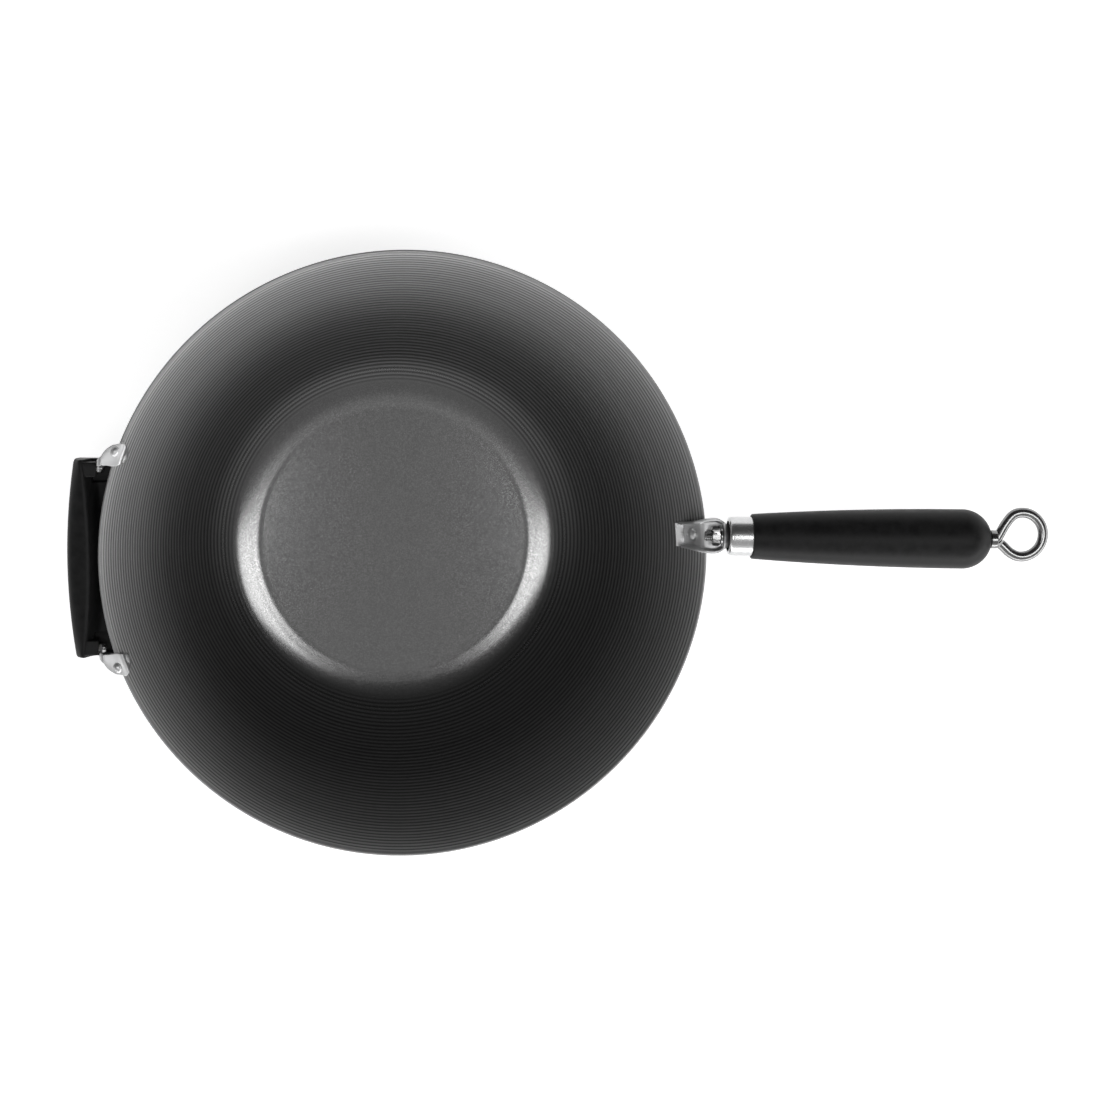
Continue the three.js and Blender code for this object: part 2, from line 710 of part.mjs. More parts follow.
function helperBracketGeometry() {
  const standOff = tongueStandOff(HELPER_TONGUE_HALF_WIDTH);
  const radial = new THREE.Vector3(Math.cos(helperBearing), Math.sin(helperBearing), 0);
  const round = new THREE.Vector3(-Math.sin(helperBearing), Math.cos(helperBearing), 0);
  const leafHeight = PAN_HEIGHT + BRACKET_LIFT;
  const outer = {
    at: radial.clone().multiplyScalar(rimRadius + BEND_REACH).setZ(leafHeight),
    across: round,
  };
  const endAngles = [30, 50, 70, 90].map(degrees);
  const strip = endAngles.map((angle) => {
    const drawnIn = HELPER_TONGUE_ROUNDING * (1 - Math.cos(angle) / Math.cos(endAngles[0]));
    const station = tongueStation(helperBearing, HELPER_TONGUE_LENGTH - drawnIn, standOff);
    return { ...station, outline: stripOutline(HELPER_TONGUE_HALF_WIDTH * Math.sin(angle)) };
  });
  const bendSteps = 4;
  for (const station of bendStations(helperBearing, standOff, outer, bendSteps)) {
    strip.push({ ...station, outline: stripOutline(HELPER_TONGUE_HALF_WIDTH) });
  }
  const rootAt = radial.clone().multiplyScalar(rimRadius + BEND_REACH / 2);
  const nearRoot = rootAt.clone().addScaledVector(round, HELPER_TONGUE_HALF_WIDTH);
  const farRoot = rootAt.clone().addScaledVector(round, -HELPER_TONGUE_HALF_WIDTH);
  const tangX = -rimRadius - tangOuterFace;
  const tangNear = tangSide - TANG_WIDTH / 2;
  const tangFar = tangSide + TANG_WIDTH / 2;
  const leaf = new THREE.Shape();
  leaf.moveTo(farRoot.x, farRoot.y);
  leaf.quadraticCurveTo(tangX + HELPER_SHEET, tangFar + LEAF_BULGE, tangX, tangFar);
  leaf.lineTo(tangX, tangNear);
  leaf.quadraticCurveTo(tangX + TANG_WIDTH, tangNear, nearRoot.x, nearRoot.y);
  leaf.closePath();
  const settings = { depth: HELPER_SHEET, bevelEnabled: false, curveSegments: 6 };
  const plate = new THREE.ExtrudeGeometry(leaf, settings).translate(0, 0, leafHeight);
  const tang = helperBlock(
    [tangOuterFace - HELPER_SHEET, tangNear, -TANG_DROP],
    [tangOuterFace, tangFar, BRACKET_LIFT + HELPER_SHEET / 2],
  );
  const screwHole = screwAxisBar([
    [0, tangOuterFace - 2 * HELPER_SHEET],
    [SCREW_SHANK_DIAMETER / 2 + HOLE_GAP, tangOuterFace - 2 * HELPER_SHEET],
    [SCREW_SHANK_DIAMETER / 2 + HOLE_GAP, tangOuterFace + HELPER_SHEET],
    [0, tangOuterFace + HELPER_SHEET],
  ]);
  return geometryOf(
    solidOf(loft(strip))
      .add(solidOf(plate))
      .add(solidOf(tang))
      .subtract(solidOf(screwHole))
      .subtract(rivetHole(helperBearing, HELPER_RIVET_DROP)),
  );
}

function helperRivetGeometry() {
  const standOff = tongueStandOff(HELPER_TONGUE_HALF_WIDTH);
  return placedRivet(helperBearing, HELPER_RIVET_DROP, standOff, HELPER_SHEET, HELPER_RIVET_DOME);
}

function helperScrewGeometry() {
  const head = SCREW_HEAD_DIAMETER / 2;
  const shank = SCREW_SHANK_DIAMETER / 2;
  const seat = tangOuterFace - HELPER_SHEET - SEAT_GAP;
  const tip = bossFace + SCREW_ENGAGEMENT;
  return screwAxisBar([
    [0, seat - SCREW_HEAD_HEIGHT],
    [SCREW_FACE_DIAMETER / 2, seat - SCREW_HEAD_HEIGHT],
    [head, seat - SCREW_HEAD_HEIGHT / 2],
    [head, seat],
    [shank, seat],
    [shank, tip],
    [0, tip],
  ]);
}

function helperInsertGeometry() {
  const outer = INSERT_DIAMETER / 2;
  const bore = SCREW_SHANK_DIAMETER / 2 + HOLE_GAP;
  const start = bossFace;
  const end = bossFace + INSERT_LENGTH;
  return screwAxisBar([[bore, start], [outer, start], [outer, end], [bore, end], [bore, start]]);
}

// Assembly

const FINISHES = {
  coating: { color: 0x3b3d40, roughness: 0.42, metalness: 0.55 },
  chrome: { color: 0xd6d8dc, roughness: 0.12, metalness: 1 },
  steel: { color: 0xa9adb2, roughness: 0.28, metalness: 1 },
  phenolic: { color: 0x18181a, roughness: 0.45, metalness: 0 },
  brass: { color: 0xb08d4a, roughness: 0.35, metalness: 1 },
};

function piece(name, geometry, finish) {
  const mesh = new THREE.Mesh(geometry, new THREE.MeshStandardMaterial(FINISHES[finish]));
  mesh.name = name;
  return mesh;
}

function helperPair(name, geometry, finish) {
  return [
    piece(`${name}_left`, geometry, finish),
    piece(`${name}_right`, mirroredAcross(geometry), finish),
  ];
}

const stickStandOff = tongueStandOff(CHANNEL_HALF_WIDTH);
const stickRivet = placedRivet(
  stickBearing, STICK_RIVET_DROP, stickStandOff, BRACKET_SHEET, STICK_RIVET_DOME,
);

stick.add(
  piece('rod_nut', nutGeometry(), 'steel'),
  piece('rod_washer', washerGeometry(), 'steel'),
  piece('ferrule', ferruleGeometry(), 'chrome'),
  piece('stick_grip', gripGeometry(), 'phenolic'),
  piece('eye_collar', collarGeometry(), 'chrome'),
  piece('eye_bolt', eyeBoltGeometry(), 'steel'),
);

const wok = new THREE.Group();
wok.add(
  piece('pan', panGeometry(), 'coating'),
  piece('stick_bracket', stickBracketGeometry(), 'chrome'),
  piece('stick_rivet', stickRivet, 'steel'),
  stick,
  piece('helper_grip', helperGripGeometry(), 'phenolic'),
  ...helperPair('helper_bracket', helperBracketGeometry(), 'chrome'),
  ...helperPair('helper_rivet', helperRivetGeometry(), 'steel'),
  ...helperPair('helper_screw', helperScrewGeometry(), 'steel'),
  ...helperPair('helper_insert', helperInsertGeometry(), 'brass'),
);

export default wok;
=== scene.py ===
"""A flat-bottom wok: its turned bowl, stick handle, hanging eye and helper handle, in a plain white studio."""
import bisect
import math
import bpy
from mathutils import Matrix, Vector


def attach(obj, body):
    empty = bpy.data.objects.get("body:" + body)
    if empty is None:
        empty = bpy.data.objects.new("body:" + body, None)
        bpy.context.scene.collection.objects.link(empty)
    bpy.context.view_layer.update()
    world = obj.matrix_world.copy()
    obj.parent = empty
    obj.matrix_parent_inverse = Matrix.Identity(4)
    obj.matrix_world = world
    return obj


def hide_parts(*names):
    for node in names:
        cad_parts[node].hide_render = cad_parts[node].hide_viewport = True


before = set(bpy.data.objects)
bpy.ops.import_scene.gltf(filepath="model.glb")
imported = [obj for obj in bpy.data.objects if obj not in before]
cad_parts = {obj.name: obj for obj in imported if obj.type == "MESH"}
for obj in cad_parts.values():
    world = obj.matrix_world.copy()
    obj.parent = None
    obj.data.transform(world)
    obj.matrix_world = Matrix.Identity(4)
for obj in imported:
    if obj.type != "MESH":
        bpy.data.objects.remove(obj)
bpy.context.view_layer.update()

# Sizes are in millimetres, and the scene is in metres
MM = 0.001

# Bowl
RIM_RADIUS = 177.8
RIM_HEIGHT = 96.0
RIM_SLOPE = math.radians(59.5)
RIM_LEAN = 0.28
BOWL_SHEET = 1.6
BOWL_SIDES = 256
BASE_RADIUS = 80.0
BASE_ROWS_INSIDE = (0, 20, 40, 60, 78, 79.6, BASE_RADIUS)
BASE_ROWS_OUTSIDE = (0, 26, 52, 78, 79.6, BASE_RADIUS)
FOOT_BEND = 52.0
FOOT_SLOPE = math.radians(17)
FOOT_ROWS = 20
WALL_STEPS = 600
CREASE_RISE = 0.2
CREASE_START, CREASE_TOP, CREASE_END = 81.0, 87.0, 112.0
RING_PITCH = 2.55
RING_DEPTH = 0.08
RING_ROWS = 6
RING_FADE_AT_FOOT = 8.0
RING_FADE_AT_RIM = 1.2
RING_SHARE_OUTSIDE = 0.6
# Painted shade in the turned grooves: where it fades at the rim, how far from the inner wall's curve it reaches, and
# its level away from the grooves
GROOVE_FADE_AT_RIM = 3.0
GROOVE_REACH = 0.6
NO_GROOVE = 0.25

# Stick handle, measured along its axis from above the rim
STICK_SIDE = 10.6
STICK_PLACE = Vector((RIM_RADIUS, STICK_SIDE, 104.5))
STICK_RISE = math.radians(2)
STICK_SWING = math.radians(-1.15)
STICK_BEARING = math.asin(STICK_SIDE / RIM_RADIUS)
STICK_SHEET = 1.8
STICK_STAND_OFF = 0.63
BEND_START = 0.6
BEND_REACH = 3.0
BEND_ROWS = 10
TONGUE_LENGTH = 17.0
TONGUE_HALF = 7.8
TONGUE_WALL = 6.3
TONGUE_ROWS = 8
TAB_INSET = 0.6
TAB_LEAN_OUT, TAB_LEAN_DOWN = 0.94, 0.34
CHANNEL_START = 13.9
CHANNEL_HALF = 10.5
CHANNEL_WALL = 8.6
CHANNEL_FLOOR = 7.1
CHANNEL_ROUNDING = (3.0, 3.0, 0.6, 0.6, 1.3, 1.3, 0.6, 0.6)
PROW_END = 12.2
PROW_ROWS = 12
PROW_FLOORS = ((BEND_REACH, CHANNEL_FLOOR), (7, CHANNEL_FLOOR), (PROW_END, 5.0))
PROW_HALVES = ((BEND_REACH, CHANNEL_HALF), (4.4, 10.4), (5.8, 10.0), (7.2, 9.3), (8.6, 8.3), (PROW_END, 5.4))
PROW_WALLS = ((BEND_REACH, CHANNEL_WALL), (5, 8.4), (7, 7.8), (9, 6.4), (PROW_END, 3.6))
NOSE_START, NOSE_END = 7.8, 16.4
NOSE_RADIUS = 8.1
NOSE_TIP = 3.9
NOSE_EDGE = 0.5
NOSE_SWELL = 0.95
NOSE_ROWS = 16
ROD_RADIUS = 3.0
ROD_HOLE = 3.3
ROD_START = -2.8
ROD_SIDES = 48
ROD_POINT, ROD_POINT_LENGTH = 0.55, 0.8
THREAD_END = 7.4
THREAD_PITCH = 1.0
THREAD_DEPTH = 0.32
THREAD_FADE = 0.9
THREAD_ROWS = 8
NUT_START, NUT_END = 1.2, 6.2
NUT_FLAT = 5.0
NUT_SIDES = 72
WASHER_START, WASHER_END = 6.5, 7.5
WASHER_RADIUS = 5.0
WASHER_EDGE = 0.2
FERRULE_START, FERRULE_END = 10.9, 31.6
FERRULE_RADIUS = 11.6
FERRULE_MOUTH = 9.0
FERRULE_SHEET = 1.2
FERRULE_SHOULDER = 2.8
FERRULE_EDGE = 0.3
GRIP_START, GRIP_END = 24.6, 167.1
GRIP_FRONT = 13.3
GRIP_BACK = 17.6
GRIP_LIP = 1.4
GRIP_LIP_INSIDE = 1.2
GRIP_GAP = 0.3
GRIP_FLAT_MARGIN = 0.6
COLLAR_START, COLLAR_END = 167.4, 171.8
COLLAR_RADIUS = 5.45
COLLAR_ROUND = 0.8
EYE_START = 172.1
EYE_CENTRE = 186.1
EYE_SIDE = 3.0
EYE_BEND = 13.15
EYE_WIRE = 3.05
EYE_OVERLAP = 0.6

# Rivets
RIVET_SHANK = 2.3
RIVET_HEAD = 3.6
RIVET_GAP = 0.05
RIVET_TAIL = 1.4
RIVET_TAIL_FLAT = 1.9
STICK_RIVET_HEAD = 4.1
STICK_RIVET_DOME = 2.4
STICK_RIVET_DROP = 7.6
HELPER_RIVET_DOME = 1.2
HELPER_RIVET_DROP = 4.8

# Helper handle, with the left bracket's two edges named far and near from the handle's middle
HELPER_HALF = 57.5
HELPER_BEARING = math.pi - math.asin(59.9 / RIM_RADIUS)
HELPER_SHEET = 1.6
HELPER_STAND_OFF = 0.42
HELPER_TONGUE = 8.6
HELPER_TONGUE_ROWS = 12
HELPER_TONGUE_FAR = ((BEND_START, 7.4), (3, 6.6), (5.7, 5.2), (7.4, 3.7), (8.2, 2.7), (HELPER_TONGUE, 1.8))
HELPER_TONGUE_NEAR = ((BEND_START, 3.8), (3.5, 3.4), (5.7, 2.8), (7.4, 1.5), (8.2, 0.4), (HELPER_TONGUE, -0.5))
HELPER_BEND_FAR = ((0, 7.4), (2, 8.4), (4, 8.9), (6, 8.3), (8, 7.1), (BEND_ROWS, 6.0))
HELPER_BEND_NEAR = ((0, 3.8), (3, 4.9), (6, 5.9), (BEND_ROWS, 6.65))
LEAF_STAND_OFF = 1.8
LEAF_HEIGHT = 97.4
LEAF_ROWS = 14
LEAF_FAR_BEND, LEAF_FAR_END = (4.6, 64.2), 60.3
LEAF_NEAR_BEND, LEAF_NEAR_END = (3.8, 54.5), 54.8
BUMP_HALVES = (2.5, 3.4, 2.3)
BUMP_OUT, BUMP_SIDE, BUMP_LIFT = 0.8, 2.6, 0.7
FOLD_RADIUS = 1.2
FOLD_ROWS = 7
FOLD_NARROWED_FAR, FOLD_NARROWED_NEAR = 3.1, 1.0
TANG_SIDE = 52.2
TANG_HALF = 2.9
TANG_DROP = 13.0
TANG_ROWS = ((0.12, 0.7, 0), (0.2, 1, 0), (0.36, 1, 0.1), (0.48, 1, 0.8), (0.85, 1, 0.8), (0.95, 1.2, 0.7),
             (1, 1.5, 0.55))
SCREW_DROP = 8.4
SCREW_HEAD = 2.8
SCREW_SHANK = 2.0
SCREW_TIP = 7.8
LUG_ROUND = 1.8
LUG_ROWS = 60
LUG_OUTER, LUG_OUTER_FALL = 17.8, 4.6
LUG_CREST, LUG_CREST_SHIFT = 4.6, 4.2
LUG_TOP, LUG_TOP_FALL = -0.9, 1.5
LUG_EDGE = -7.0
LUG_WEB = -14.0
LUG_BOTTOM = -23.5
LUG_ROUNDING = (1.2, 4, 2.4, 2.4, 3, 2.2, 2.6, 3, 1.0, 0.9, 3, 2, 1.0)
LUG_WALL_GAP = 3.0
POCKET = (-40, 43.5, -19), (3.2, 55.7, 24)
BOSS = (0.3, 47.5, -19.6), (9.4, 56.0, -3.6)


# Mesh building

def mix(low, high, share):
    return low + (high - low) * share


def eased(share):
    return share * share * (3 - 2 * share)


def along_table(table, place):
    """A value read from pairs of place and value, on a straight line from pair to pair."""
    for (start, low), (end, high) in zip(table, table[1:]):
        if place <= end:
            return mix(low, high, max(0, (place - start) / (end - start)))
    return table[-1][1]


def blend_points(points, share):
    """A place on a quadratic curve that three points steer."""
    start, pull, end = points
    return start * (1 - share) ** 2 + pull * 2 * share * (1 - share) + end * share ** 2


def around(sides):
    """The directions from an axis to the sides of a ring."""
    angles = [2 * math.pi * side / sides for side in range(sides)]
    return [(math.cos(angle), math.sin(angle)) for angle in angles]


def quarter(steps):
    """Sine and cosine at even steps over a quarter turn."""
    angles = [math.pi / 2 * step / steps for step in range(steps + 1)]
    return [(math.sin(angle), math.cos(angle)) for angle in angles]


def rounded(outline, radii, steps):
    """A closed outline with a curve in place of each corner, which takes up less than half of a side."""
    most = 0.48
    made = []
    for index, (corner, radius) in enumerate(zip(outline, radii)):
        here = Vector(corner)
        before = Vector(outline[index - 1]) - here
        after = Vector(outline[(index + 1) % len(outline)]) - here
        start = here + before.normalized() * min(radius, before.length * most)
        end = here + after.normalized() * min(radius, after.length * most)
        made += [blend_points((start, here, end), step / steps) for step in range(steps + 1)]
    return made


def turned(profile, sides):
    """Points and faces of a profile of (radius, height) turned about Z. Ends on the axis become fans."""
    points, faces, rings = [], [], []
    for radius, height in profile:
        if radius < 1e-6:
            rings.append([len(points)])
            points.append(Vector((0, 0, height)))
        else:
            rings.append(range(len(points), len(points) + sides))
            points += [Vector((radius * x, radius * y, height)) for x, y in around(sides)]
    for near, far in zip(rings, rings[1:]):
        for side in range(sides):
            after = (side + 1) % sides
            if len(near) == 1:
                faces.append((near[0], far[after], far[side]))
            elif len(far) == 1:
                faces.append((near[side], near[after], far[0]))
            else:
                faces.append((near[side], near[after], far[after], far[side]))
    return points, faces


def turned_ring(profile, sides):
    return turned(profile + profile[:1], sides)


def lofted(sections, ring=False):
    """Points and faces of a skin over closed sections with equal counts, capped at both ends or joined in a ring."""
    count, last = len(sections[0]), len(sections) - 1
    points = [point for section in sections for point in section]
    faces = []
    for row in range(last + ring):
        near, far = row * count, (row + 1) % len(sections) * count
        for corner in range(count):
            after = (corner + 1) % count
            faces.append((near + corner, near + after, far + after, far + corner))
    if not ring:
        faces.append(tuple(reversed(range(count))))
        faces.append(tuple(range(last * count, (last + 1) * count)))
    return points, faces


def joined(*parts):
    points, faces = [], []
    for part_points, part_faces in parts:
        shift = len(points)
        points += part_points
        faces += [tuple(corner + shift for corner in face) for face in part_faces]
    return points, faces


def moved(part, matrix):
    points, faces = part
    return [matrix @ point for point in points], faces


def faced_about(part):
    points, faces = part
    return points, [tuple(reversed(face)) for face in faces]


def mirrored(part):
    points, faces = faced_about(part)
    return [Vector((point.x, -point.y, point.z)) for point in points], faces


def new_mesh(name, part):
    points, faces = part
    mesh = bpy.data.meshes.new(name)
    mesh.from_pydata([point * MM for point in points], [], faces)
    return mesh


def put_in_scene(name, data):
    shown = bpy.data.objects.new(name, data)
    bpy.context.scene.collection.objects.link(shown)
    return shown


def piece(name, part, finish, body, replaced, sharp=35):
    """Makes a shown piece from points in millimetres, with its finish, body and the solids it stands for."""
    mesh = new_mesh(name, part)
    mesh.validate()
    mesh.shade_smooth()
    mesh.set_sharp_from_angle(angle=math.radians(sharp))
    mesh.materials.append(finish)
    shown = put_in_scene(name, mesh)
    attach(shown, body)
    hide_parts(*replaced)
    return shown


# The bowl's inner wall, as a curve of radius and height from the foot to the rim

FOOT_POINT = Vector((
    BASE_RADIUS + FOOT_BEND * math.sin(FOOT_SLOPE),
    BOWL_SHEET + FOOT_BEND * (1 - math.cos(FOOT_SLOPE)),
))
RIM_POINT = Vector((RIM_RADIUS - BOWL_SHEET * math.sin(RIM_SLOPE), RIM_HEIGHT))


def wall_bend():
    """Where the slopes at the foot and at the rim meet."""
    run, rise = RIM_POINT - FOOT_POINT
    reach = (rise - run * math.tan(RIM_SLOPE)) / (math.tan(FOOT_SLOPE) - math.tan(RIM_SLOPE))
    return FOOT_POINT + Vector((reach, reach * math.tan(FOOT_SLOPE)))


WALL = (FOOT_POINT, wall_bend(), RIM_POINT)
WALL_POINTS = [blend_points(WALL, step / WALL_STEPS) for step in range(WALL_STEPS + 1)]
WALL_RUN = [0.0]
for lower, upper in zip(WALL_POINTS, WALL_POINTS[1:]):
    WALL_RUN.append(WALL_RUN[-1] + (upper - lower).length)
WALL_LENGTH = WALL_RUN[-1]


def wall_place(drop):
    """The inner face at a distance down the wall from the rim: its point, the way up and the way in."""
    run = WALL_LENGTH - drop
    index = min(max(bisect.bisect_left(WALL_RUN, run - 1e-9), 1), WALL_STEPS)
    share = (run - WALL_RUN[index - 1]) / (WALL_RUN[index] - WALL_RUN[index - 1])
    point = WALL_POINTS[index - 1].lerp(WALL_POINTS[index], share)
    along = (index - 1 + share) / WALL_STEPS
    up = ((WALL[1] - WALL[0]) * (1 - along) + (WALL[2] - WALL[1]) * along).normalized()
    return point, up, Vector((-up.y, up.x))


def bearing_ways(bearing):
    """The ways out from the bowl's axis and round it."""
    return (Vector((math.cos(bearing), math.sin(bearing), 0)),
            Vector((-math.sin(bearing), math.cos(bearing), 0)))


def wall_frame(bearing, drop):
    """The inner face at a bearing: its point, the way up the wall, the way off it and the way round."""
    radial, round_way = bearing_ways(bearing)
    at, climb, out = (radial * flat.x + Vector((0, 0, flat.y)) for flat in wall_place(drop))
    return at, climb, out, round_way


def ring_fade(run, at_rim):
    """The share of a turned ring's depth that stands at a place on the wall, none at the foot and the rim."""
    return eased(min(1, run / RING_FADE_AT_FOOT)) * eased(min(1, (WALL_LENGTH - run) / at_rim))


def ring_swell(run):
    """How far the inner face stands in from its plain curve. The rings are uneven, and deeper towards the rim."""
    ring = int(run / RING_PITCH)
    uneven = 0.72 + 0.28 * math.sin(ring * 2.4) * math.cos(ring * 0.9)
    deeper = 0.45 + 1.05 * run / WALL_LENGTH
    strength = ring_fade(run, RING_FADE_AT_RIM) * (uneven * deeper)
    return RING_DEPTH * strength * math.cos(2 * math.pi * run / RING_PITCH)


def crease_lift(radius):
    """How far the inner face rises above its plain curve round the base, where the spinning leaves a crease."""
    if radius < CREASE_TOP:
        return CREASE_RISE * eased(min(1, max(0, (radius - CREASE_START) / (CREASE_TOP - CREASE_START))))
    return CREASE_RISE * (1 - eased(min(1, (radius - CREASE_TOP) / (CREASE_END - CREASE_TOP))))


def bowl_profile():
    """The sheet's outline, from the middle of the underside round the rim to the middle of the inside."""
    inside = [(radius, BOWL_SHEET) for radius in BASE_ROWS_INSIDE]
    outside = [(radius, 0) for radius in BASE_ROWS_OUTSIDE]
    bend_height = BOWL_SHEET + FOOT_BEND
    for row in range(1, FOOT_ROWS):
        angle = FOOT_SLOPE * row / FOOT_ROWS
        for face, bend in ((inside, FOOT_BEND), (outside, FOOT_BEND + BOWL_SHEET)):
            face.append((BASE_RADIUS + bend * math.sin(angle), bend_height - bend * math.cos(angle)))
    rows = int(WALL_LENGTH / RING_PITCH * RING_ROWS)
    for row in range(rows + 1):
        run = WALL_LENGTH * row / rows
        point, up, inward = wall_place(WALL_LENGTH - run)
        swell = ring_swell(run)
        inside.append(tuple(point + inward * swell))
        if row % 2 == 0:
            outside.append(tuple(point - inward * (BOWL_SHEET - swell * RING_SHARE_OUTSIDE)))
    # The rounded edge takes the place of the last row of each face
    inside.pop()
    outside.pop()
    point, up, inward = wall_place(0)
    half = BOWL_SHEET / 2
    middle = point - inward * half - up * half + Vector((RIM_LEAN, RIM_LEAN))
    edge = []
    for step in range(9):
        angle = math.pi * step / 8
        edge.append(tuple(middle + (inward * math.cos(angle) + up * math.sin(angle)) * half))
    inside = [(radius, height + crease_lift(radius)) for radius, height in inside]
    return list(reversed(inside + edge + list(reversed(outside))))


# Node building

def fill(tree, socket, source):
    """Links an input to another node's output, or sets its plain value."""
    if isinstance(source, bpy.types.NodeSocket):
        tree.links.new(source, socket)
    else:
        socket.default_value = source


def add(tree, kind, settings=None, **inputs):
    """Adds a node with its own settings. An input goes by its label, with _ for a space, or as i0, i1 by its number."""
    node = tree.nodes.new(kind)
    for key, value in (settings or {}).items():
        setattr(node, key, value)
    for label, source in inputs.items():
        numbered = label[0] == "i" and label[1:].isdigit()
        fill(tree, node.inputs[int(label[1:]) if numbered else label.replace("_", " ")], source)
    return node


def remap(tree, value, low, high, new_low, new_high):
    return add(tree, "ShaderNodeMapRange", Value=value, From_Min=low, From_Max=high,
               To_Min=new_low, To_Max=new_high).outputs["Result"]


def blended(tree, share, first, second):
    return add(tree, "ShaderNodeMix", {"data_type": "RGBA"}, i0=share, i6=first, i7=second).outputs[2]


def either(tree, first, second):
    return add(tree, "ShaderNodeMath", {"operation": "MAXIMUM"}, i0=first, i1=second).outputs[0]


def grey_ramp(tree, share, levels):
    """A grey that follows a share, from pairs of share and level in rising order that start at 0 and end at 1."""
    ramp = add(tree, "ShaderNodeValToRGB", Fac=share)
    stops = ramp.color_ramp.elements
    for position, level in levels[1:-1]:
        stops.new(position)
    for stop, (position, level) in zip(stops, levels):
        stop.color = (level, level, level, 1)
    return ramp.outputs["Color"]


# Effects that the finishes share

def effect(name, inputs, outputs):
    """A shader group with named sockets, and the sockets inside it for what it is given and what it makes."""
    group = bpy.data.node_groups.new(name, "ShaderNodeTree")
    for way, sockets in (("INPUT", inputs), ("OUTPUT", outputs)):
        for label, kind in sockets.items():
            group.interface.new_socket(label, in_out=way, socket_type="NodeSocket" + kind)
    return group, group.nodes.new("NodeGroupInput").outputs, group.nodes.new("NodeGroupOutput").inputs


def metal_fleck():
    """Fine metallic flakes in a dark coating: colour, roughness and height that change from flake to flake."""
    tree, given, made = effect(
        "metal_fleck",
        {"Place": "Vector", "Flakes per metre": "Float", "Ground": "Color", "Flake": "Color",
         "Smooth": "Float", "Rough": "Float"},
        {"Colour": "Color", "Roughness": "Float", "Height": "Float"})
    cells = add(tree, "ShaderNodeTexVoronoi", Vector=given["Place"], Scale=given["Flakes per metre"])
    draws = add(tree, "ShaderNodeSeparateColor", Color=cells.outputs["Color"]).outputs
    cloud = add(tree, "ShaderNodeTexNoise", Vector=given["Place"], Scale=60.0, Detail=3.0)
    share = add(tree, "ShaderNodeMath", {"operation": "ADD"},
                i0=remap(tree, draws[0], 0.35, 1.0, 0.0, 0.82),
                i1=remap(tree, cloud.outputs[0], 0.3, 0.7, 0.0, 0.08)).outputs[0]
    tree.links.new(blended(tree, share, given["Ground"], given["Flake"]), made["Colour"])
    tree.links.new(remap(tree, draws[1], 0, 1, given["Smooth"], given["Rough"]), made["Roughness"])
    tree.links.new(draws[2], made["Height"])
    return tree


def handled():
    """Soft cloudy change of tone and gloss, as on anything that is wiped and handled."""
    tree, given, made = effect(
        "handled",
        {"Place": "Vector", "Patches per metre": "Float", "Dark": "Color", "Light": "Color",
         "Smooth": "Float", "Rough": "Float"},
        {"Colour": "Color", "Roughness": "Float"})
    cloud = add(tree, "ShaderNodeTexNoise", Vector=given["Place"], Scale=given["Patches per metre"],
                Detail=5.0, Roughness=0.6)
    mask = remap(tree, cloud.outputs[0], 0.32, 0.68, 0.0, 1.0)
    tree.links.new(blended(tree, mask, given["Dark"], given["Light"]), made["Colour"])
    tree.links.new(remap(tree, mask, 0, 1, given["Smooth"], given["Rough"]), made["Roughness"])
    return tree


def fine_grain():
    """Small-scale relief, stretched by its own directions: drawing lines on metal, pebble on a moulding."""
    tree, given, made = effect(
        "fine_grain", {"Place": "Vector", "Grain per metre": "Vector"}, {"Height": "Float"})
    spread = add(tree, "ShaderNodeVectorMath", {"operation": "MULTIPLY"},
                 i0=given["Place"], i1=given["Grain per metre"])
    grain = add(tree, "ShaderNodeTexNoise", Vector=spread.outputs[0], Scale=1.0, Detail=3.0)
    tree.links.new(grain.outputs[0], made["Height"])
    return tree


METAL_FLECK, HANDLED, FINE_GRAIN = metal_fleck(), handled(), fine_grain()


# Finishes

def place_effect(tree, group, inputs):
    node = add(tree, "ShaderNodeGroup", {"node_tree": group})
    for label, source in inputs.items():
        fill(tree, node.inputs[label], source)
    return node.outputs


def bare_finish(name, metallic, plain=None):
    """A new material, its nodes, its shader's inputs with plain values set, and a place on the piece."""
    material = bpy.data.materials.new(name)
    material.use_nodes = True
    tree = material.node_tree
    shader = tree.nodes["Principled BSDF"]
    for label, value in {"Metallic": metallic, **(plain or {})}.items():
        shader.inputs[label].default_value = value
    return material, tree, shader.inputs, add(tree, "ShaderNodeTexCoord").outputs["Object"]


def relief(tree, shader, height, distance, strength):
    bump = add(tree, "ShaderNodeBump", Height=height, Distance=distance, Strength=strength)
    tree.links.new(bump.outputs["Normal"], shader["Normal"])


# Levels of the inner coating, as pairs of height and level, and its greys as written for the base and for the wall
COATING_METALLIC = 0.92
COATING_RELIEF = (0.00001, 0.12)
BASE_TOP = 5
# Painted light and shade: the coating's grey is lighter on the base and towards the rim, darker down the middle of the
# wall and a little darker at the rim's very edge, for how the studio light falls on the bowl
PAINTED_LIGHT_BY_HEIGHT = ((0, 1.5), (1.62, 1.5), (1.85, 1.35), (2.8, 0.98), (6, 0.85), (14, 0.56), (26, 0.6), (36, 0.7),
                (44, 0.86), (60, 1.35), (80, 1.85), (95.1, 2.45), (95.5, 2.0), (RIM_HEIGHT, 1.9))
COATING_SMOOTH = ((0, 0.08), (1.62, 0.08), (1.7, 0.16), (5, 0.16), (9, 0.27), (18, 0.42), (50, 0.48),
                  (RIM_HEIGHT, 0.57))
COATING_ROUGHER = 0.06
COATING_GROUND = (0.17, 0.18)
COATING_FLAKE = (0.245, 0.195)


def by_height(tree, place, levels):
    """A grey that changes with the height above the base, from pairs of height and level."""
    height = add(tree, "ShaderNodeSeparateXYZ", Vector=place).outputs["Z"]
    share = remap(tree, height, 0, RIM_HEIGHT * MM, 0, 1)
    return grey_ramp(tree, share, [(level_height / RIM_HEIGHT, level) for level_height, level in levels])


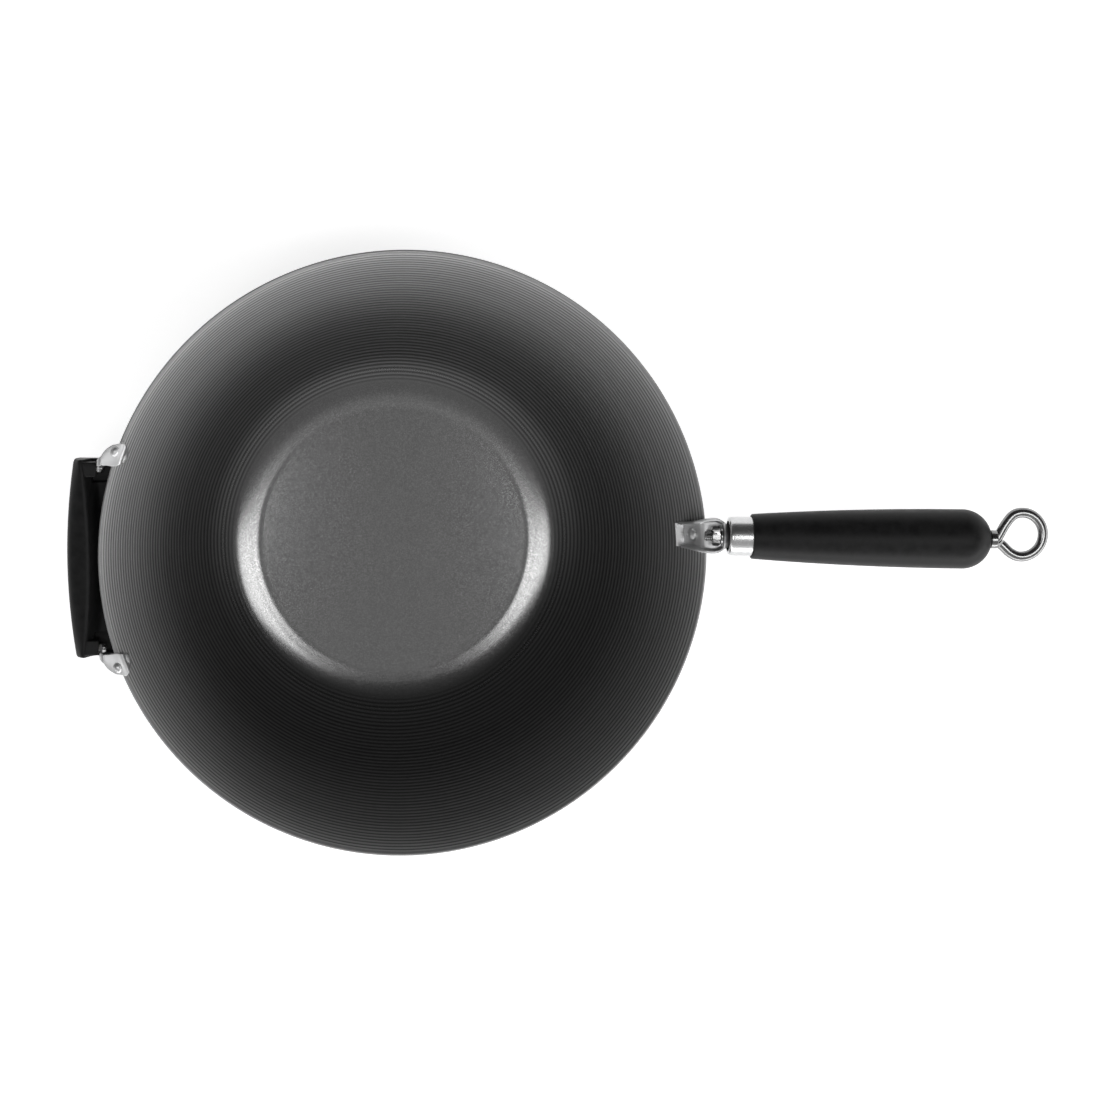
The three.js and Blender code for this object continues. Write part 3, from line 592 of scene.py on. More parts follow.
def dark_coating():
    """The inner coating, with painted shade in the turned grooves and painted light and shade that change its grey from
    the base to the rim.
    """
    material, tree, shader, place = bare_finish("dark_coating", COATING_METALLIC)
    ground, flake = (
        by_height(tree, place, [(height, (base if height < BASE_TOP else wall) * level)
                                for height, level in PAINTED_LIGHT_BY_HEIGHT])
        for base, wall in (COATING_GROUND, COATING_FLAKE))
    fleck = place_effect(tree, METAL_FLECK, {
        "Place": place, "Flakes per metre": 1900.0, "Ground": ground, "Flake": flake,
        "Smooth": by_height(tree, place, COATING_SMOOTH),
        "Rough": by_height(tree, place, [(height, level + COATING_ROUGHER) for height, level in COATING_SMOOTH])})
    # Painted shade: the grey is scaled down in the hollows of the turned rings and up on their crests, standing in for
    # the shading of the rings
    groove_shade = add(tree, "ShaderNodeAttribute", {"attribute_name": "groove_shade"}).outputs["Fac"]
    shaded = add(tree, "ShaderNodeVectorMath", {"operation": "SCALE"}, i0=fleck["Colour"],
                 Scale=remap(tree, groove_shade, 0, 1, 1.2, 0.4))
    tree.links.new(shaded.outputs["Vector"], shader["Base Color"])
    tree.links.new(fleck["Roughness"], shader["Roughness"])
    relief(tree, shader, fleck["Height"], *COATING_RELIEF)
    return material


def outer_coating():
    """The coating of the underside and the outer wall, cloudy from the burner and the cloth."""
    material, tree, shader, place = bare_finish("outer_coating", COATING_METALLIC)
    fleck = place_effect(tree, METAL_FLECK, {
        "Place": place, "Flakes per metre": 1500.0, "Ground": (0.14, 0.14, 0.143, 1),
        "Flake": (0.24, 0.24, 0.245, 1), "Smooth": 0.34, "Rough": 0.46})
    worn = place_effect(tree, HANDLED, {
        "Place": place, "Patches per metre": 35.0, "Dark": (0.1, 0.1, 0.102, 1), "Light": (0.19, 0.19, 0.193, 1),
        "Smooth": 0.36, "Rough": 0.5})
    tree.links.new(blended(tree, 0.5, fleck["Colour"], worn["Colour"]), shader["Base Color"])
    tree.links.new(worn["Roughness"], shader["Roughness"])
    relief(tree, shader, fleck["Height"], *COATING_RELIEF)
    return material


def wiped_finish(name, patches, dark, light, smooth, rough, grain=None, metallic=1.0, plain=None):
    """Metal or moulding with cloudy tone and gloss and, where given, a grain: its spread, distance and strength."""
    material, tree, shader, place = bare_finish(name, metallic, plain)
    wiped = place_effect(tree, HANDLED, {
        "Place": place, "Patches per metre": patches, "Dark": (*dark, 1), "Light": (*light, 1),
        "Smooth": smooth, "Rough": rough})
    tree.links.new(wiped["Colour"], shader["Base Color"])
    tree.links.new(wiped["Roughness"], shader["Roughness"])
    if grain:
        spread, distance, strength = grain
        lines = place_effect(tree, FINE_GRAIN, {"Place": place, "Grain per metre": spread})
        relief(tree, shader, lines["Height"], distance, strength)
    return material


def even(value):
    return value, value, value


PLATE = 140.0, (0.56, 0.562, 0.565), (0.65, 0.652, 0.655)
PLATE_GRAIN = even(900.0), 0.00001, 0.08
STEEL_GRAIN = (300.0, 2600.0, 2600.0), 0.00003, 0.3
MOULDED_GRAIN = even(1500.0), 0.00006, 0.3

COATING, OUTER_COATING = dark_coating(), outer_coating()
CHROME = wiped_finish("bright_chrome", *PLATE, 0.25, 0.28, PLATE_GRAIN)
SATIN_CHROME = wiped_finish("satin_chrome", *PLATE, 0.38, 0.5, PLATE_GRAIN)
STEEL = wiped_finish("drawn_steel", 220.0, even(0.37), even(0.47), 0.18, 0.26, STEEL_GRAIN)
# A darker copy of the drawn steel for the eye, its collar and the helper screws: painted shade, so that their sides,
# which mirror the bright floor, stay grey
SHADED_STEEL = wiped_finish("steel_with_painted_shade", 220.0, even(0.21), even(0.29), 0.18, 0.26, STEEL_GRAIN)
PHENOLIC = wiped_finish("black_phenolic", 170.0, (0.0085, 0.0085, 0.0088), (0.016, 0.016, 0.0163), 0.4, 0.52,
                        MOULDED_GRAIN, metallic=0.0, plain={"Specular IOR Level": 0.16})
BRASS = wiped_finish("turned_brass", 300.0, (0.5, 0.36, 0.15), (0.66, 0.5, 0.24), 0.2, 0.36)


# Bowl

def groove_depth(place):
    """How deep in the turned grooves a place of radius and height lies, from 0 to 1."""
    if not FOOT_POINT.x < place.x < RIM_POINT.x:
        return NO_GROOVE
    index = min(range(WALL_STEPS + 1), key=lambda step: (WALL_POINTS[step] - place).length)
    if (WALL_POINTS[index] - place).length > GROOVE_REACH:
        return NO_GROOVE
    run = WALL_RUN[index]
    depth = 0.5 - 0.5 * math.cos(2 * math.pi * run / RING_PITCH)
    return mix(NO_GROOVE, depth, ring_fade(run, GROOVE_FADE_AT_RIM))


def store_groove_shade(bowl):
    """Stores how deep in the turned grooves each point of the inner wall lies, for painted shade that darkens the
    coating there.
    """
    marks = bowl.data.attributes.new("groove_shade", "FLOAT", "POINT")
    depths = {}
    for point in bowl.data.vertices:
        place = (round(math.hypot(point.co.x, point.co.y) / MM, 2), round(point.co.z / MM, 2))
        if place not in depths:
            depths[place] = groove_depth(Vector(place))
        marks.data[point.index].value = depths[place]


def coat_outside(bowl):
    """Gives the faces that look down, which are those of the underside and the outer wall, their own coating."""
    bowl.data.materials.append(OUTER_COATING)
    for face in bowl.data.polygons:
        if face.normal.z < 0:
            face.material_index = 1


bowl = piece("bowl", turned(bowl_profile(), BOWL_SIDES), COATING, "wok", ["pan"], 50)
store_groove_shade(bowl)
coat_outside(bowl)

# Stick handle, in a frame whose Z runs out along the handle, whose Y is level and whose X points down
STICK = Matrix.Translation(STICK_PLACE) @ Matrix.Rotation(STICK_SWING, 4, "Z")
STICK = STICK @ Matrix.Rotation(math.pi / 2 - STICK_RISE, 4, "Y")


def strip_section(place, across, up, outline):
    return [place + across * point.x + up * point.y for point in outline]


def plate_outline(start, end, sheet, radius):
    return rounded([(start, 0), (end, 0), (end, sheet), (start, sheet)], [radius] * 4, 3)


def bend_over_rim(bearing, stand_off, outer_place, outer_across):
    """Stations of a strip that turns from the inner wall over the rim to a level place outside it."""
    at, climb, out, round_way = wall_frame(bearing, BEND_START)
    inner = at + out * stand_off
    corner = inner + climb * ((outer_place.z - inner.z) / climb.z)
    stations = []
    for row in range(BEND_ROWS + 1):
        share = row / BEND_ROWS
        across = round_way.lerp(outer_across, share).normalized()
        tangent = (corner - inner) * (1 - share) + (outer_place - corner) * share
        up = tangent.cross(across).normalized()
        stations.append((blend_points((inner, corner, outer_place), share), across, up))
    return stations


def channel_outline(half, wall):
    inner = half - STICK_SHEET
    corners = [(-half, 0), (half, 0), (half, wall), (inner, wall), (inner, STICK_SHEET), (-inner, STICK_SHEET),
               (-inner, wall), (-half, wall)]
    return rounded(corners, CHANNEL_ROUNDING, 5)


def channel_size(row):
    """Half the channel's width and the height of its walls, which grow from the tongue to the end of the bend."""
    share = eased(row / (TONGUE_ROWS + BEND_ROWS))
    return mix(TONGUE_HALF, CHANNEL_HALF, share), mix(TONGUE_WALL, CHANNEL_WALL, share)


def bracket_channel():
    """The stamped channel: a tongue on the wall, a bend over the rim, swelling sides and a prow that closes in."""
    level = (STICK.to_3x3() @ Vector((0, 1, 0))).normalized()
    out_way = (STICK.to_3x3() @ Vector((0, 0, 1))).normalized()
    lift = out_way.cross(level)
    stations = []
    for row in range(TONGUE_ROWS):
        at, climb, out, round_way = wall_frame(STICK_BEARING, mix(CHANNEL_START, BEND_START, row / TONGUE_ROWS))
        stations.append((at + out * STICK_STAND_OFF, round_way, out, *channel_size(row)))
    outer = STICK @ Vector((CHANNEL_FLOOR, 0, BEND_REACH))
    bend = bend_over_rim(STICK_BEARING, STICK_STAND_OFF, outer, level)
    stations += [(*station, *channel_size(row)) for row, station in enumerate(bend, TONGUE_ROWS)]
    for row in range(1, PROW_ROWS + 1):
        distance = mix(BEND_REACH, PROW_END, row / PROW_ROWS)
        floor, half, wall = (along_table(table, distance) for table in (PROW_FLOORS, PROW_HALVES, PROW_WALLS))
        stations.append((STICK @ Vector((floor, 0, distance)), level, lift, half, wall))
    return lofted([strip_section(at, across, up, channel_outline(half, wall))
                   for at, across, up, half, wall in stations])


def bracket_tab():
    """The tongue's end, turned up off the wall and leaning down it."""
    at, climb, out, round_way = wall_frame(STICK_BEARING, TONGUE_LENGTH)
    foot = at + out * STICK_STAND_OFF
    way = out * TAB_LEAN_OUT - climb * TAB_LEAN_DOWN
    up = out * TAB_LEAN_DOWN + climb * TAB_LEAN_OUT
    rows = [(climb * 3.4, out), (climb * 2.2, out), (climb * 1.0, (out + climb * 0.3).normalized()),
            (climb * 0.5 + out * 0.15, (out + climb * 0.8).normalized()),
            (way * 0.9, (out * 0.5 + climb).normalized()), (way * 2.0, up), (way * TONGUE_WALL, up)]
    half = TONGUE_HALF - TAB_INSET
    plate = plate_outline(-half, half, STICK_SHEET, 0.5)
    return lofted([strip_section(foot + shift, round_way, row_up, plate) for shift, row_up in rows])


def bracket_nose():
    """The hollow cone that closes the prow round the rod."""
    edge = NOSE_START + NOSE_EDGE
    profile = [(ROD_HOLE, NOSE_START), (NOSE_RADIUS - 0.6, NOSE_START), (NOSE_RADIUS - 0.15, NOSE_START + 0.15),
               (NOSE_RADIUS, edge)]
    for row in range(1, NOSE_ROWS + 1):
        share = row / NOSE_ROWS
        profile.append((mix(NOSE_RADIUS, NOSE_TIP, share ** NOSE_SWELL), mix(edge, NOSE_END, share)))
    profile.append((ROD_HOLE, NOSE_END))
    return moved(turned_ring(profile, 64), STICK)


piece("stick_bracket_channel", joined(bracket_channel(), bracket_tab(), bracket_nose()), SATIN_CHROME,
      "wok", ["stick_bracket"], 40)


def rivet(stand_off, sheet, dome, head_radius=RIVET_HEAD):
    """A rivet with a domed head on the tongue and a flattened tail outside the wall."""
    head, tail = stand_off + sheet + RIVET_GAP, -BOWL_SHEET - RIVET_GAP
    profile = [(0, tail - RIVET_TAIL)]
    profile += [(mix(RIVET_TAIL_FLAT, RIVET_HEAD, sine), tail - RIVET_TAIL * cosine) for sine, cosine in quarter(4)]
    profile += [(RIVET_SHANK, tail), (RIVET_SHANK, head)]
    profile += [(head_radius * cosine, head + dome * sine) for sine, cosine in quarter(9)]
    return turned(profile, 48)


def at_wall(part, bearing, drop):
    at, climb, out, round_way = wall_frame(bearing, drop)
    turn = Vector((0, 0, 1)).rotation_difference(out).to_matrix().to_4x4()
    return moved(part, Matrix.Translation(at) @ turn)


stick_rivet = rivet(STICK_STAND_OFF, STICK_SHEET, STICK_RIVET_DOME, STICK_RIVET_HEAD)
piece("stick_rivet_dome", at_wall(stick_rivet, STICK_BEARING, STICK_RIVET_DROP), SATIN_CHROME,
      "wok", ["stick_rivet"])


def hex_nut():
    """A six-sided nut with its corners taken off by a cone at both faces."""
    chamfer = [(0, NUT_FLAT - 0.35), (0.35, NUT_FLAT + 0.2), (0.9, NUT_FLAT * 2)]
    levels = [(NUT_START + depth, limit) for depth, limit in chamfer]
    levels += [(NUT_END - depth, limit) for depth, limit in reversed(chamfer)]
    sixth = math.radians(60)
    rows = []
    for height, limit in levels:
        row = []
        for side, (x, y) in enumerate(around(NUT_SIDES)):
            angle = 2 * math.pi * side / NUT_SIDES
            reach = min(NUT_FLAT / math.cos(angle - sixth * round(angle / sixth)), limit)
            row.append(Vector((reach * x, reach * y, height)))
        rows.append(row)
    for height in (NUT_END, NUT_START):
        rows.append([Vector((ROD_HOLE * x, ROD_HOLE * y, height)) for x, y in around(NUT_SIDES)])
    return lofted(rows, ring=True)


piece("rod_nut_hex", moved(hex_nut(), STICK), STEEL, "wok", ["rod_nut"], 25)


def washer():
    profile = [(ROD_HOLE, WASHER_START), (WASHER_RADIUS - WASHER_EDGE, WASHER_START),
               (WASHER_RADIUS, WASHER_START + WASHER_EDGE), (WASHER_RADIUS, WASHER_END - WASHER_EDGE),
               (WASHER_RADIUS - WASHER_EDGE, WASHER_END), (ROD_HOLE, WASHER_END)]
    return turned_ring(profile, 48)


piece("rod_washer_ring", moved(washer(), STICK), STEEL, "wok", ["rod_washer"])


def ferrule():
    """A drawn cup with a rounded shoulder that closes in on the bracket's nose."""
    lip = FERRULE_MOUTH + FERRULE_SHEET
    inner = FERRULE_RADIUS - FERRULE_SHEET
    outside, inside = [], []
    for sine, cosine in quarter(12):
        height = FERRULE_START + FERRULE_SHOULDER - FERRULE_SHOULDER * cosine
        outside.append((mix(lip, FERRULE_RADIUS, sine), height))
        inside.append((mix(FERRULE_MOUTH, inner, sine), height + FERRULE_SHEET * sine))
    outside += [(FERRULE_RADIUS, FERRULE_END - FERRULE_EDGE), (FERRULE_RADIUS - FERRULE_EDGE, FERRULE_END)]
    inside.append((inner, FERRULE_END))
    return turned_ring(outside + list(reversed(inside)), 96)


piece("ferrule_cup", moved(ferrule(), STICK), CHROME, "wok", ["ferrule"], 40)


def stick_grip():
    """A tapered moulded grip with a softly rounded front edge and a domed end."""
    socket, socket_end = FERRULE_RADIUS + GRIP_GAP, FERRULE_END + GRIP_GAP
    flat = COLLAR_RADIUS + GRIP_FLAT_MARGIN
    dome = GRIP_END - math.sqrt(GRIP_BACK ** 2 - flat ** 2)
    front = GRIP_START + GRIP_LIP
    profile = [(socket, front + GRIP_LIP_INSIDE)]
    for step in range(9):
        angle = math.pi * step / 8
        profile.append((mix(socket, GRIP_FRONT, (1 - math.cos(angle)) / 2), front - GRIP_LIP * math.sin(angle)))
    taper = (Vector((GRIP_FRONT, front)), Vector((GRIP_BACK, (GRIP_START + dome) / 2)), Vector((GRIP_BACK, dome)))
    profile += [tuple(blend_points(taper, step / 40)) for step in range(1, 41)]
    dome_turn = math.acos(flat / GRIP_BACK)
    for step in range(1, 25):
        angle = dome_turn * step / 24
        profile.append((GRIP_BACK * math.cos(angle), dome + GRIP_BACK * math.sin(angle)))
    profile += [(ROD_HOLE, GRIP_END), (ROD_HOLE, socket_end), (socket, socket_end)]
    return turned_ring(profile, 96)


piece("stick_grip_moulding", moved(stick_grip(), STICK), PHENOLIC, "wok", ["stick_grip"], 40)


def eye_collar():
    inner = COLLAR_RADIUS - COLLAR_ROUND
    corner = [(inner + COLLAR_ROUND * cosine, COLLAR_ROUND * (1 - sine)) for sine, cosine in quarter(5)]
    profile = [(ROD_HOLE, COLLAR_START)]
    profile += [(radius, COLLAR_START + edge) for radius, edge in reversed(corner)]
    profile += [(radius, COLLAR_END - edge) for radius, edge in corner]
    profile.append((ROD_HOLE, COLLAR_END))
    return turned_ring(profile, 64)


piece("eye_collar_ring", moved(eye_collar(), STICK), SHADED_STEEL, "collar", ["eye_collar"], 40)


def threaded_rod():
    """The rod's inner end with a true helical thread, and its plain length up to the eye."""
    rows = int((THREAD_END - ROD_START) / THREAD_PITCH * THREAD_ROWS)
    sections = []
    for row in range(rows + 1):
        height = mix(ROD_START, THREAD_END, row / rows)
        cut = THREAD_DEPTH * max(0, min(1, (height - ROD_START) / THREAD_FADE, (THREAD_END - height) / THREAD_FADE))
        point = ROD_POINT * max(0, 1 - (height - ROD_START) / ROD_POINT_LENGTH)
        section = []
        for side, (x, y) in enumerate(around(ROD_SIDES)):
            phase = (height / THREAD_PITCH - side / ROD_SIDES) % 1
            reach = ROD_RADIUS - cut * abs(2 * phase - 1) - point
            section.append(Vector((reach * x, reach * y, height)))
        sections.append(section)
    end = EYE_START - EYE_OVERLAP
    plain = turned([(0, THREAD_END), (ROD_RADIUS, THREAD_END), (ROD_RADIUS, end), (0, end)], ROD_SIDES)
    return joined(lofted(sections), plain)


def smooth_path(path, steps):
    """A curve through every point of a path."""
    fine = []
    for index, (here, after) in enumerate(zip(path, path[1:])):
        before, beyond = path[max(index - 1, 0)], path[min(index + 2, len(path) - 1)]
        for step in range(steps):
            t = step / steps
            fine.append(0.5 * ((2 * here) + (after - before) * t + (2 * before - 5 * here + 4 * after - beyond) * t * t
                               + (3 * here - before - 3 * after + beyond) * t ** 3))
    return fine + path[-1:]


def eye_wire():
    """Wire bent from the rod's end into a loop whose cut end comes back to the neck."""
    path = [Vector((0, 0, EYE_START - 2.4)), Vector((0, 0.2, EYE_START - 0.6)), Vector((0, 2.7, EYE_START + 0.9))]
    turns = [(150, 11.4), (118, 12.4), (96, 13.0), *((angle, EYE_BEND) for angle in range(72, -73, -24)),
             (-96, 13.0), (-120, 12.5), (-145, 12.6)]
    centre = Vector((0, EYE_SIDE, EYE_CENTRE))
    for degrees, reach in turns:
        angle = math.radians(degrees)
        path.append(centre + Vector((0, math.sin(angle), math.cos(angle))) * reach)
    path.append(Vector((0, -2.6, EYE_START + 1.8)))
    fine = smooth_path(path, 10)
    flat = Vector((1, 0, 0))
    sections = []
    for index, point in enumerate(fine):
        along = (fine[min(index + 1, len(fine) - 1)] - fine[max(index - 1, 0)]).normalized()
        side_way = along.cross(flat).normalized()
        sections.append([point + (flat * x + side_way * y) * EYE_WIRE for x, y in around(32)])
    return lofted(sections)


piece("eye_bolt_wire", moved(joined(threaded_rod(), eye_wire()), STICK), SHADED_STEEL, "eye", ["eye_bolt"], 50)


# Helper lug, by distance out past the rim's radius, side along Y and height above the rim

def web_reach(side):
    """How far out the lug's inner face lies, a gap away from the bowl's outer wall."""
    share = (RIM_HEIGHT + LUG_WEB - FOOT_POINT.y) / (RIM_HEIGHT - FOOT_POINT.y)
    point, up, inward = wall_place(WALL_LENGTH * (1 - share))
    return math.sqrt((point.x - inward.x * BOWL_SHEET + LUG_WALL_GAP) ** 2 - side ** 2) - RIM_RADIUS


def lug_section(side, inset):
    """The lug's section at a place along it, drawn in towards its middle by an inset."""
    share = (side / HELPER_HALF) ** 2
    outer, crest = LUG_OUTER - LUG_OUTER_FALL * share, LUG_CREST + LUG_CREST_SHIFT * share
    top, inner = LUG_TOP - LUG_TOP_FALL * share, web_reach(side)
    turn = (top - LUG_EDGE) / 4
    foot = crest - (top - LUG_WEB) / 2
    corners = [(inner, (LUG_WEB + LUG_BOTTOM) / 2), (crest, LUG_BOTTOM + turn), (outer - 3 * turn, LUG_BOTTOM),
               (outer - turn, LUG_BOTTOM + 2 * turn), (outer, (LUG_EDGE + LUG_BOTTOM) / 2), (outer, LUG_EDGE - turn),
               (outer - turn, LUG_EDGE + turn), ((crest + outer) / 2, top - turn), (crest + turn, top),
               (crest, top - turn / 2), ((crest + foot) / 2, (top + LUG_WEB) / 2 - turn), (foot, LUG_WEB),
               (inner, LUG_WEB)]
    middle = Vector((LUG_CREST, LUG_BOTTOM / 2))
    pull = 1 - inset / LUG_OUTER
    outline = rounded([middle + (Vector(corner) - middle) * pull for corner in corners], LUG_ROUNDING, 4)
    return [Vector((-RIM_RADIUS - out, side, RIM_HEIGHT + height)) for out, height in outline]


def lug_blank():
    """The lug before its pockets are cut, with rounded ends."""
    ends = [(LUG_ROUND * (1 - cosine), LUG_ROUND * (1 - sine)) for sine, cosine in quarter(5)]
    straight = HELPER_HALF - LUG_ROUND
    sections = [lug_section(-HELPER_HALF + along, inset) for along, inset in ends]
    sections += [lug_section(mix(-straight, straight, row / LUG_ROWS), 0) for row in range(1, LUG_ROWS)]
    sections += [lug_section(HELPER_HALF - along, inset) for along, inset in reversed(ends)]
    return faced_about(lofted(sections))


def lug_block(low, high):
    """A block with softened edges, between two corners."""
    sections = []
    for share, inset in ((0, 0.5), (0.04, 0.12), (0.09, 0), (0.91, 0), (0.96, 0.12), (1, 0.5)):
        side = mix(low[1], high[1], share)
        a, b, c, d = low[0] + inset, low[2] + inset, high[0] - inset, high[2] - inset
        outline = rounded([(a, b), (c, b), (c, d), (a, d)], [0.7] * 4, 3)
        sections.append([Vector((-RIM_RADIUS - out, side, RIM_HEIGHT + height)) for out, height in outline])
    return lofted(sections)


def helper_lug():
    """The moulded lug, with a pocket at each end and a boss in each pocket."""
    lug = put_in_scene("helper_lug_blank", new_mesh("helper_lug_blank", lug_blank()))
    tools = []
    for hand in (lambda part: part, mirrored):
        for kind, block in (("DIFFERENCE", POCKET), ("UNION", BOSS)):
            tool = put_in_scene("helper_lug_tool", new_mesh("helper_lug_tool", hand(lug_block(*block))))
            tools.append(tool)
            step = lug.modifiers.new("shape", "BOOLEAN")
            step.operation, step.object, step.solver = kind, tool, "EXACT"
    bpy.context.view_layer.update()
    shaped = bpy.data.meshes.new_from_object(lug.evaluated_get(bpy.context.evaluated_depsgraph_get()))
    for blank in (lug, *tools):
        bpy.data.objects.remove(blank)
    return [point.co / MM for point in shaped.vertices], [tuple(face.vertices) for face in shaped.polygons]


piece("helper_grip_moulding", helper_lug(), PHENOLIC, "wok", ["helper_grip"], 38)


# Helper brackets, rivets, screws and inserts

def leaf_rows():
    """Rows across the left bracket from its tongue to its tang: the far edge, the near edge and the way up."""
    radial, round_way = bearing_ways(HELPER_BEARING)
    rows = []
    for row in range(HELPER_TONGUE_ROWS):
        share = row / HELPER_TONGUE_ROWS
        drop = mix(HELPER_TONGUE, BEND_START, share)
        at, climb, out, across = wall_frame(HELPER_BEARING, drop)
        low = at + out * mix(HELPER_STAND_OFF, LEAF_STAND_OFF, share)
        rows.append((low - across * along_table(HELPER_TONGUE_FAR, drop),
                     low + across * along_table(HELPER_TONGUE_NEAR, drop), out))
    outer = radial * (RIM_RADIUS + BEND_REACH) + Vector((0, 0, LEAF_HEIGHT))
    for row, (at, across, up) in enumerate(bend_over_rim(HELPER_BEARING, LEAF_STAND_OFF, outer, round_way)):
        rows.append((at - across * along_table(HELPER_BEND_FAR, row),
                     at + across * along_table(HELPER_BEND_NEAR, row), up))
    curves = []
    for root, (bend_x, bend_y), end_y in ((rows[-1][0], LEAF_FAR_BEND, LEAF_FAR_END),
                                          (rows[-1][1], LEAF_NEAR_BEND, LEAF_NEAR_END)):
        curves.append((root, Vector((-RIM_RADIUS + bend_x, bend_y, LEAF_HEIGHT)),
                       Vector((-RIM_RADIUS + HELPER_SHEET + FOLD_RADIUS, end_y, LEAF_HEIGHT))))
    for row in range(1, LEAF_ROWS + 1):
        rows.append((*(blend_points(curve, row / LEAF_ROWS) for curve in curves), Vector((0, 0, 1))))
    far_end, near_end, _ = rows[-1]
    for row in range(1, FOLD_ROWS + 1):
        share = row / FOLD_ROWS
        angle = math.pi / 2 * share
        shift = Vector((-FOLD_RADIUS * math.sin(angle), 0, -FOLD_RADIUS * (1 - math.cos(angle))))
        rows.append((far_end + shift - Vector((0, FOLD_NARROWED_FAR * share, 0)),
                     near_end + shift - Vector((0, FOLD_NARROWED_NEAR * share, 0)),
                     Vector((-math.sin(angle), 0, math.cos(angle)))))
    far_low, near_low, up = rows[-1]
    drop = Vector((0, 0, RIM_HEIGHT - TANG_DROP - far_low.z))
    tang_far, tang_near = far_low.y - TANG_SIDE - TANG_HALF, near_low.y - TANG_SIDE + TANG_HALF
    for share, far_in, near_out in TANG_ROWS:
        rows.append((far_low + drop * share - Vector((0, tang_far * far_in, 0)),
                     near_low + drop * share - Vector((0, tang_near * near_out, 0)), up))
    return rows


def leaf_bump():
    """The bump pressed up in the left leaf, over the rim."""
    radial, round_way = bearing_ways(HELPER_BEARING)
    angles = [math.pi * (step / 16 - 0.5) for step in range(17)]
    ball = turned([(math.cos(angle), math.sin(angle)) for angle in angles], 32)
    place = radial * (RIM_RADIUS + BUMP_OUT) - round_way * BUMP_SIDE + Vector((0, 0, LEAF_HEIGHT + BUMP_LIFT))
    turn = Matrix.Rotation(HELPER_BEARING, 4, "Z") @ Matrix.Diagonal((*BUMP_HALVES, 1))
    return moved(ball, Matrix.Translation(place) @ turn)


def helper_leaf():
    """The left bracket: a rounded tongue inside, a bend over the rim, a leaf with a bump and a tang bent down."""
    sections = []
    for far, near, up in leaf_rows():
        outline = plate_outline(0, (near - far).length, HELPER_SHEET, 0.55)
        sections.append(strip_section(far, (near - far).normalized(), up, outline))
    return joined(lofted(sections), leaf_bump())


def helper_screw():
    """The left pan-head screw, whose head faces the wall."""
    seat = -HELPER_SHEET - 0.05
    profile = [(0, seat - 2.1), (1.1, seat - 2.3), (2.1, seat - 2.1), (2.6, seat - 1.4), (SCREW_HEAD, seat - 0.5),
               (SCREW_HEAD, seat), (SCREW_SHANK, seat), (SCREW_SHANK, SCREW_TIP - 0.8), (1.3, SCREW_TIP),
               (0, SCREW_TIP)]
    place = Matrix.Translation((-RIM_RADIUS, TANG_SIDE, RIM_HEIGHT - SCREW_DROP))
    return moved(turned(profile, 36), place @ Matrix.Rotation(-math.pi / 2, 4, "Y"))


leaf, screw = helper_leaf(), helper_screw()
helper_rivet = at_wall(rivet(HELPER_STAND_OFF, HELPER_SHEET, HELPER_RIVET_DOME), HELPER_BEARING, HELPER_RIVET_DROP)
for hand, turn_over in (("left", lambda part: part), ("right", mirrored)):
    piece(f"helper_bracket_{hand}_leaf", turn_over(leaf), SATIN_CHROME, "wok", [f"helper_bracket_{hand}"], 40)
    piece(f"helper_rivet_{hand}_dome", turn_over(helper_rivet), SATIN_CHROME, "wok", [f"helper_rivet_{hand}"])
    piece(f"helper_screw_{hand}_head", turn_over(screw), SHADED_STEEL, "wok", [f"helper_screw_{hand}"])
    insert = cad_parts[f"helper_insert_{hand}"]
    insert.data.materials.clear()
    insert.data.materials.append(BRASS)


# Studio walls in layers: levels by height, the bright side, where it starts and ends to brighten, dim and bright
LOW_WALLS = ((0, 1), (0.05, 1), (0.09, 0), (1, 0)), (0.9, -0.43, 0), (-1, 1), (0.8, 3.0)
LIT_WALL = ((0, 0.25), (0.08, 0.3), (0.14, 1), (0.21, 1), (0.3, 0), (1, 0)), (0.58, -0.815, 0), (-0.1, 0.95), (0.0, 4.6)
MIDDLE_WALL = ((0, 0), (0.08, 0), (0.14, 1), (0.24, 1), (0.34, 0), (1, 0)), (0.1, -0.995, 0), (0.4, 0.95), (0.0, 1.0)
UPPER_ROOM = ((0, 1), (0.3, 1), (0.6, 0.6), (0.85, 0.6), (1, 1)), (0.02, -1, 0), (-0.2, 0.9), (0.1, 0.95)
STUDIO_FLOOR_REACH = 9000.0
STUDIO_FLOOR_HEIGHT = -0.4
STRIP_RADIANCE = 5.1
STRIP_TARGET = Vector((0, 0, 0.05))


def white_floor():
    """A pale floor that is white to the eye and in metal, and still takes the wok's shadow."""
    reach = STUDIO_FLOOR_REACH
    corners = [Vector((x, y, STUDIO_FLOOR_HEIGHT))
               for x, y in ((-reach, -reach), (reach, -reach), (reach, reach), (-reach, reach))]
    floor = put_in_scene("studio_floor", new_mesh("studio_floor", (corners, [(0, 1, 2, 3)])))
    material = bpy.data.materials.new("pale_floor")
    material.use_nodes = True
    tree = material.node_tree
    tree.nodes.clear()
    path = add(tree, "ShaderNodeLightPath").outputs
    seen = either(tree, either(tree, path["Is Camera Ray"], path["Is Glossy Ray"]), path["Is Transmission Ray"])
    paint = add(tree, "ShaderNodeBsdfDiffuse", Color=(0.82, 0.82, 0.82, 1))
    glow = add(tree, "ShaderNodeEmission", Color=(1, 1, 1, 1), Strength=remap(tree, seen, 0, 1, 0, 0.75))
    both = add(tree, "ShaderNodeAddShader", i0=paint.outputs[0], i1=glow.outputs[0])
    add(tree, "ShaderNodeOutputMaterial", Surface=both.outputs[0])
    floor.data.materials.append(material)


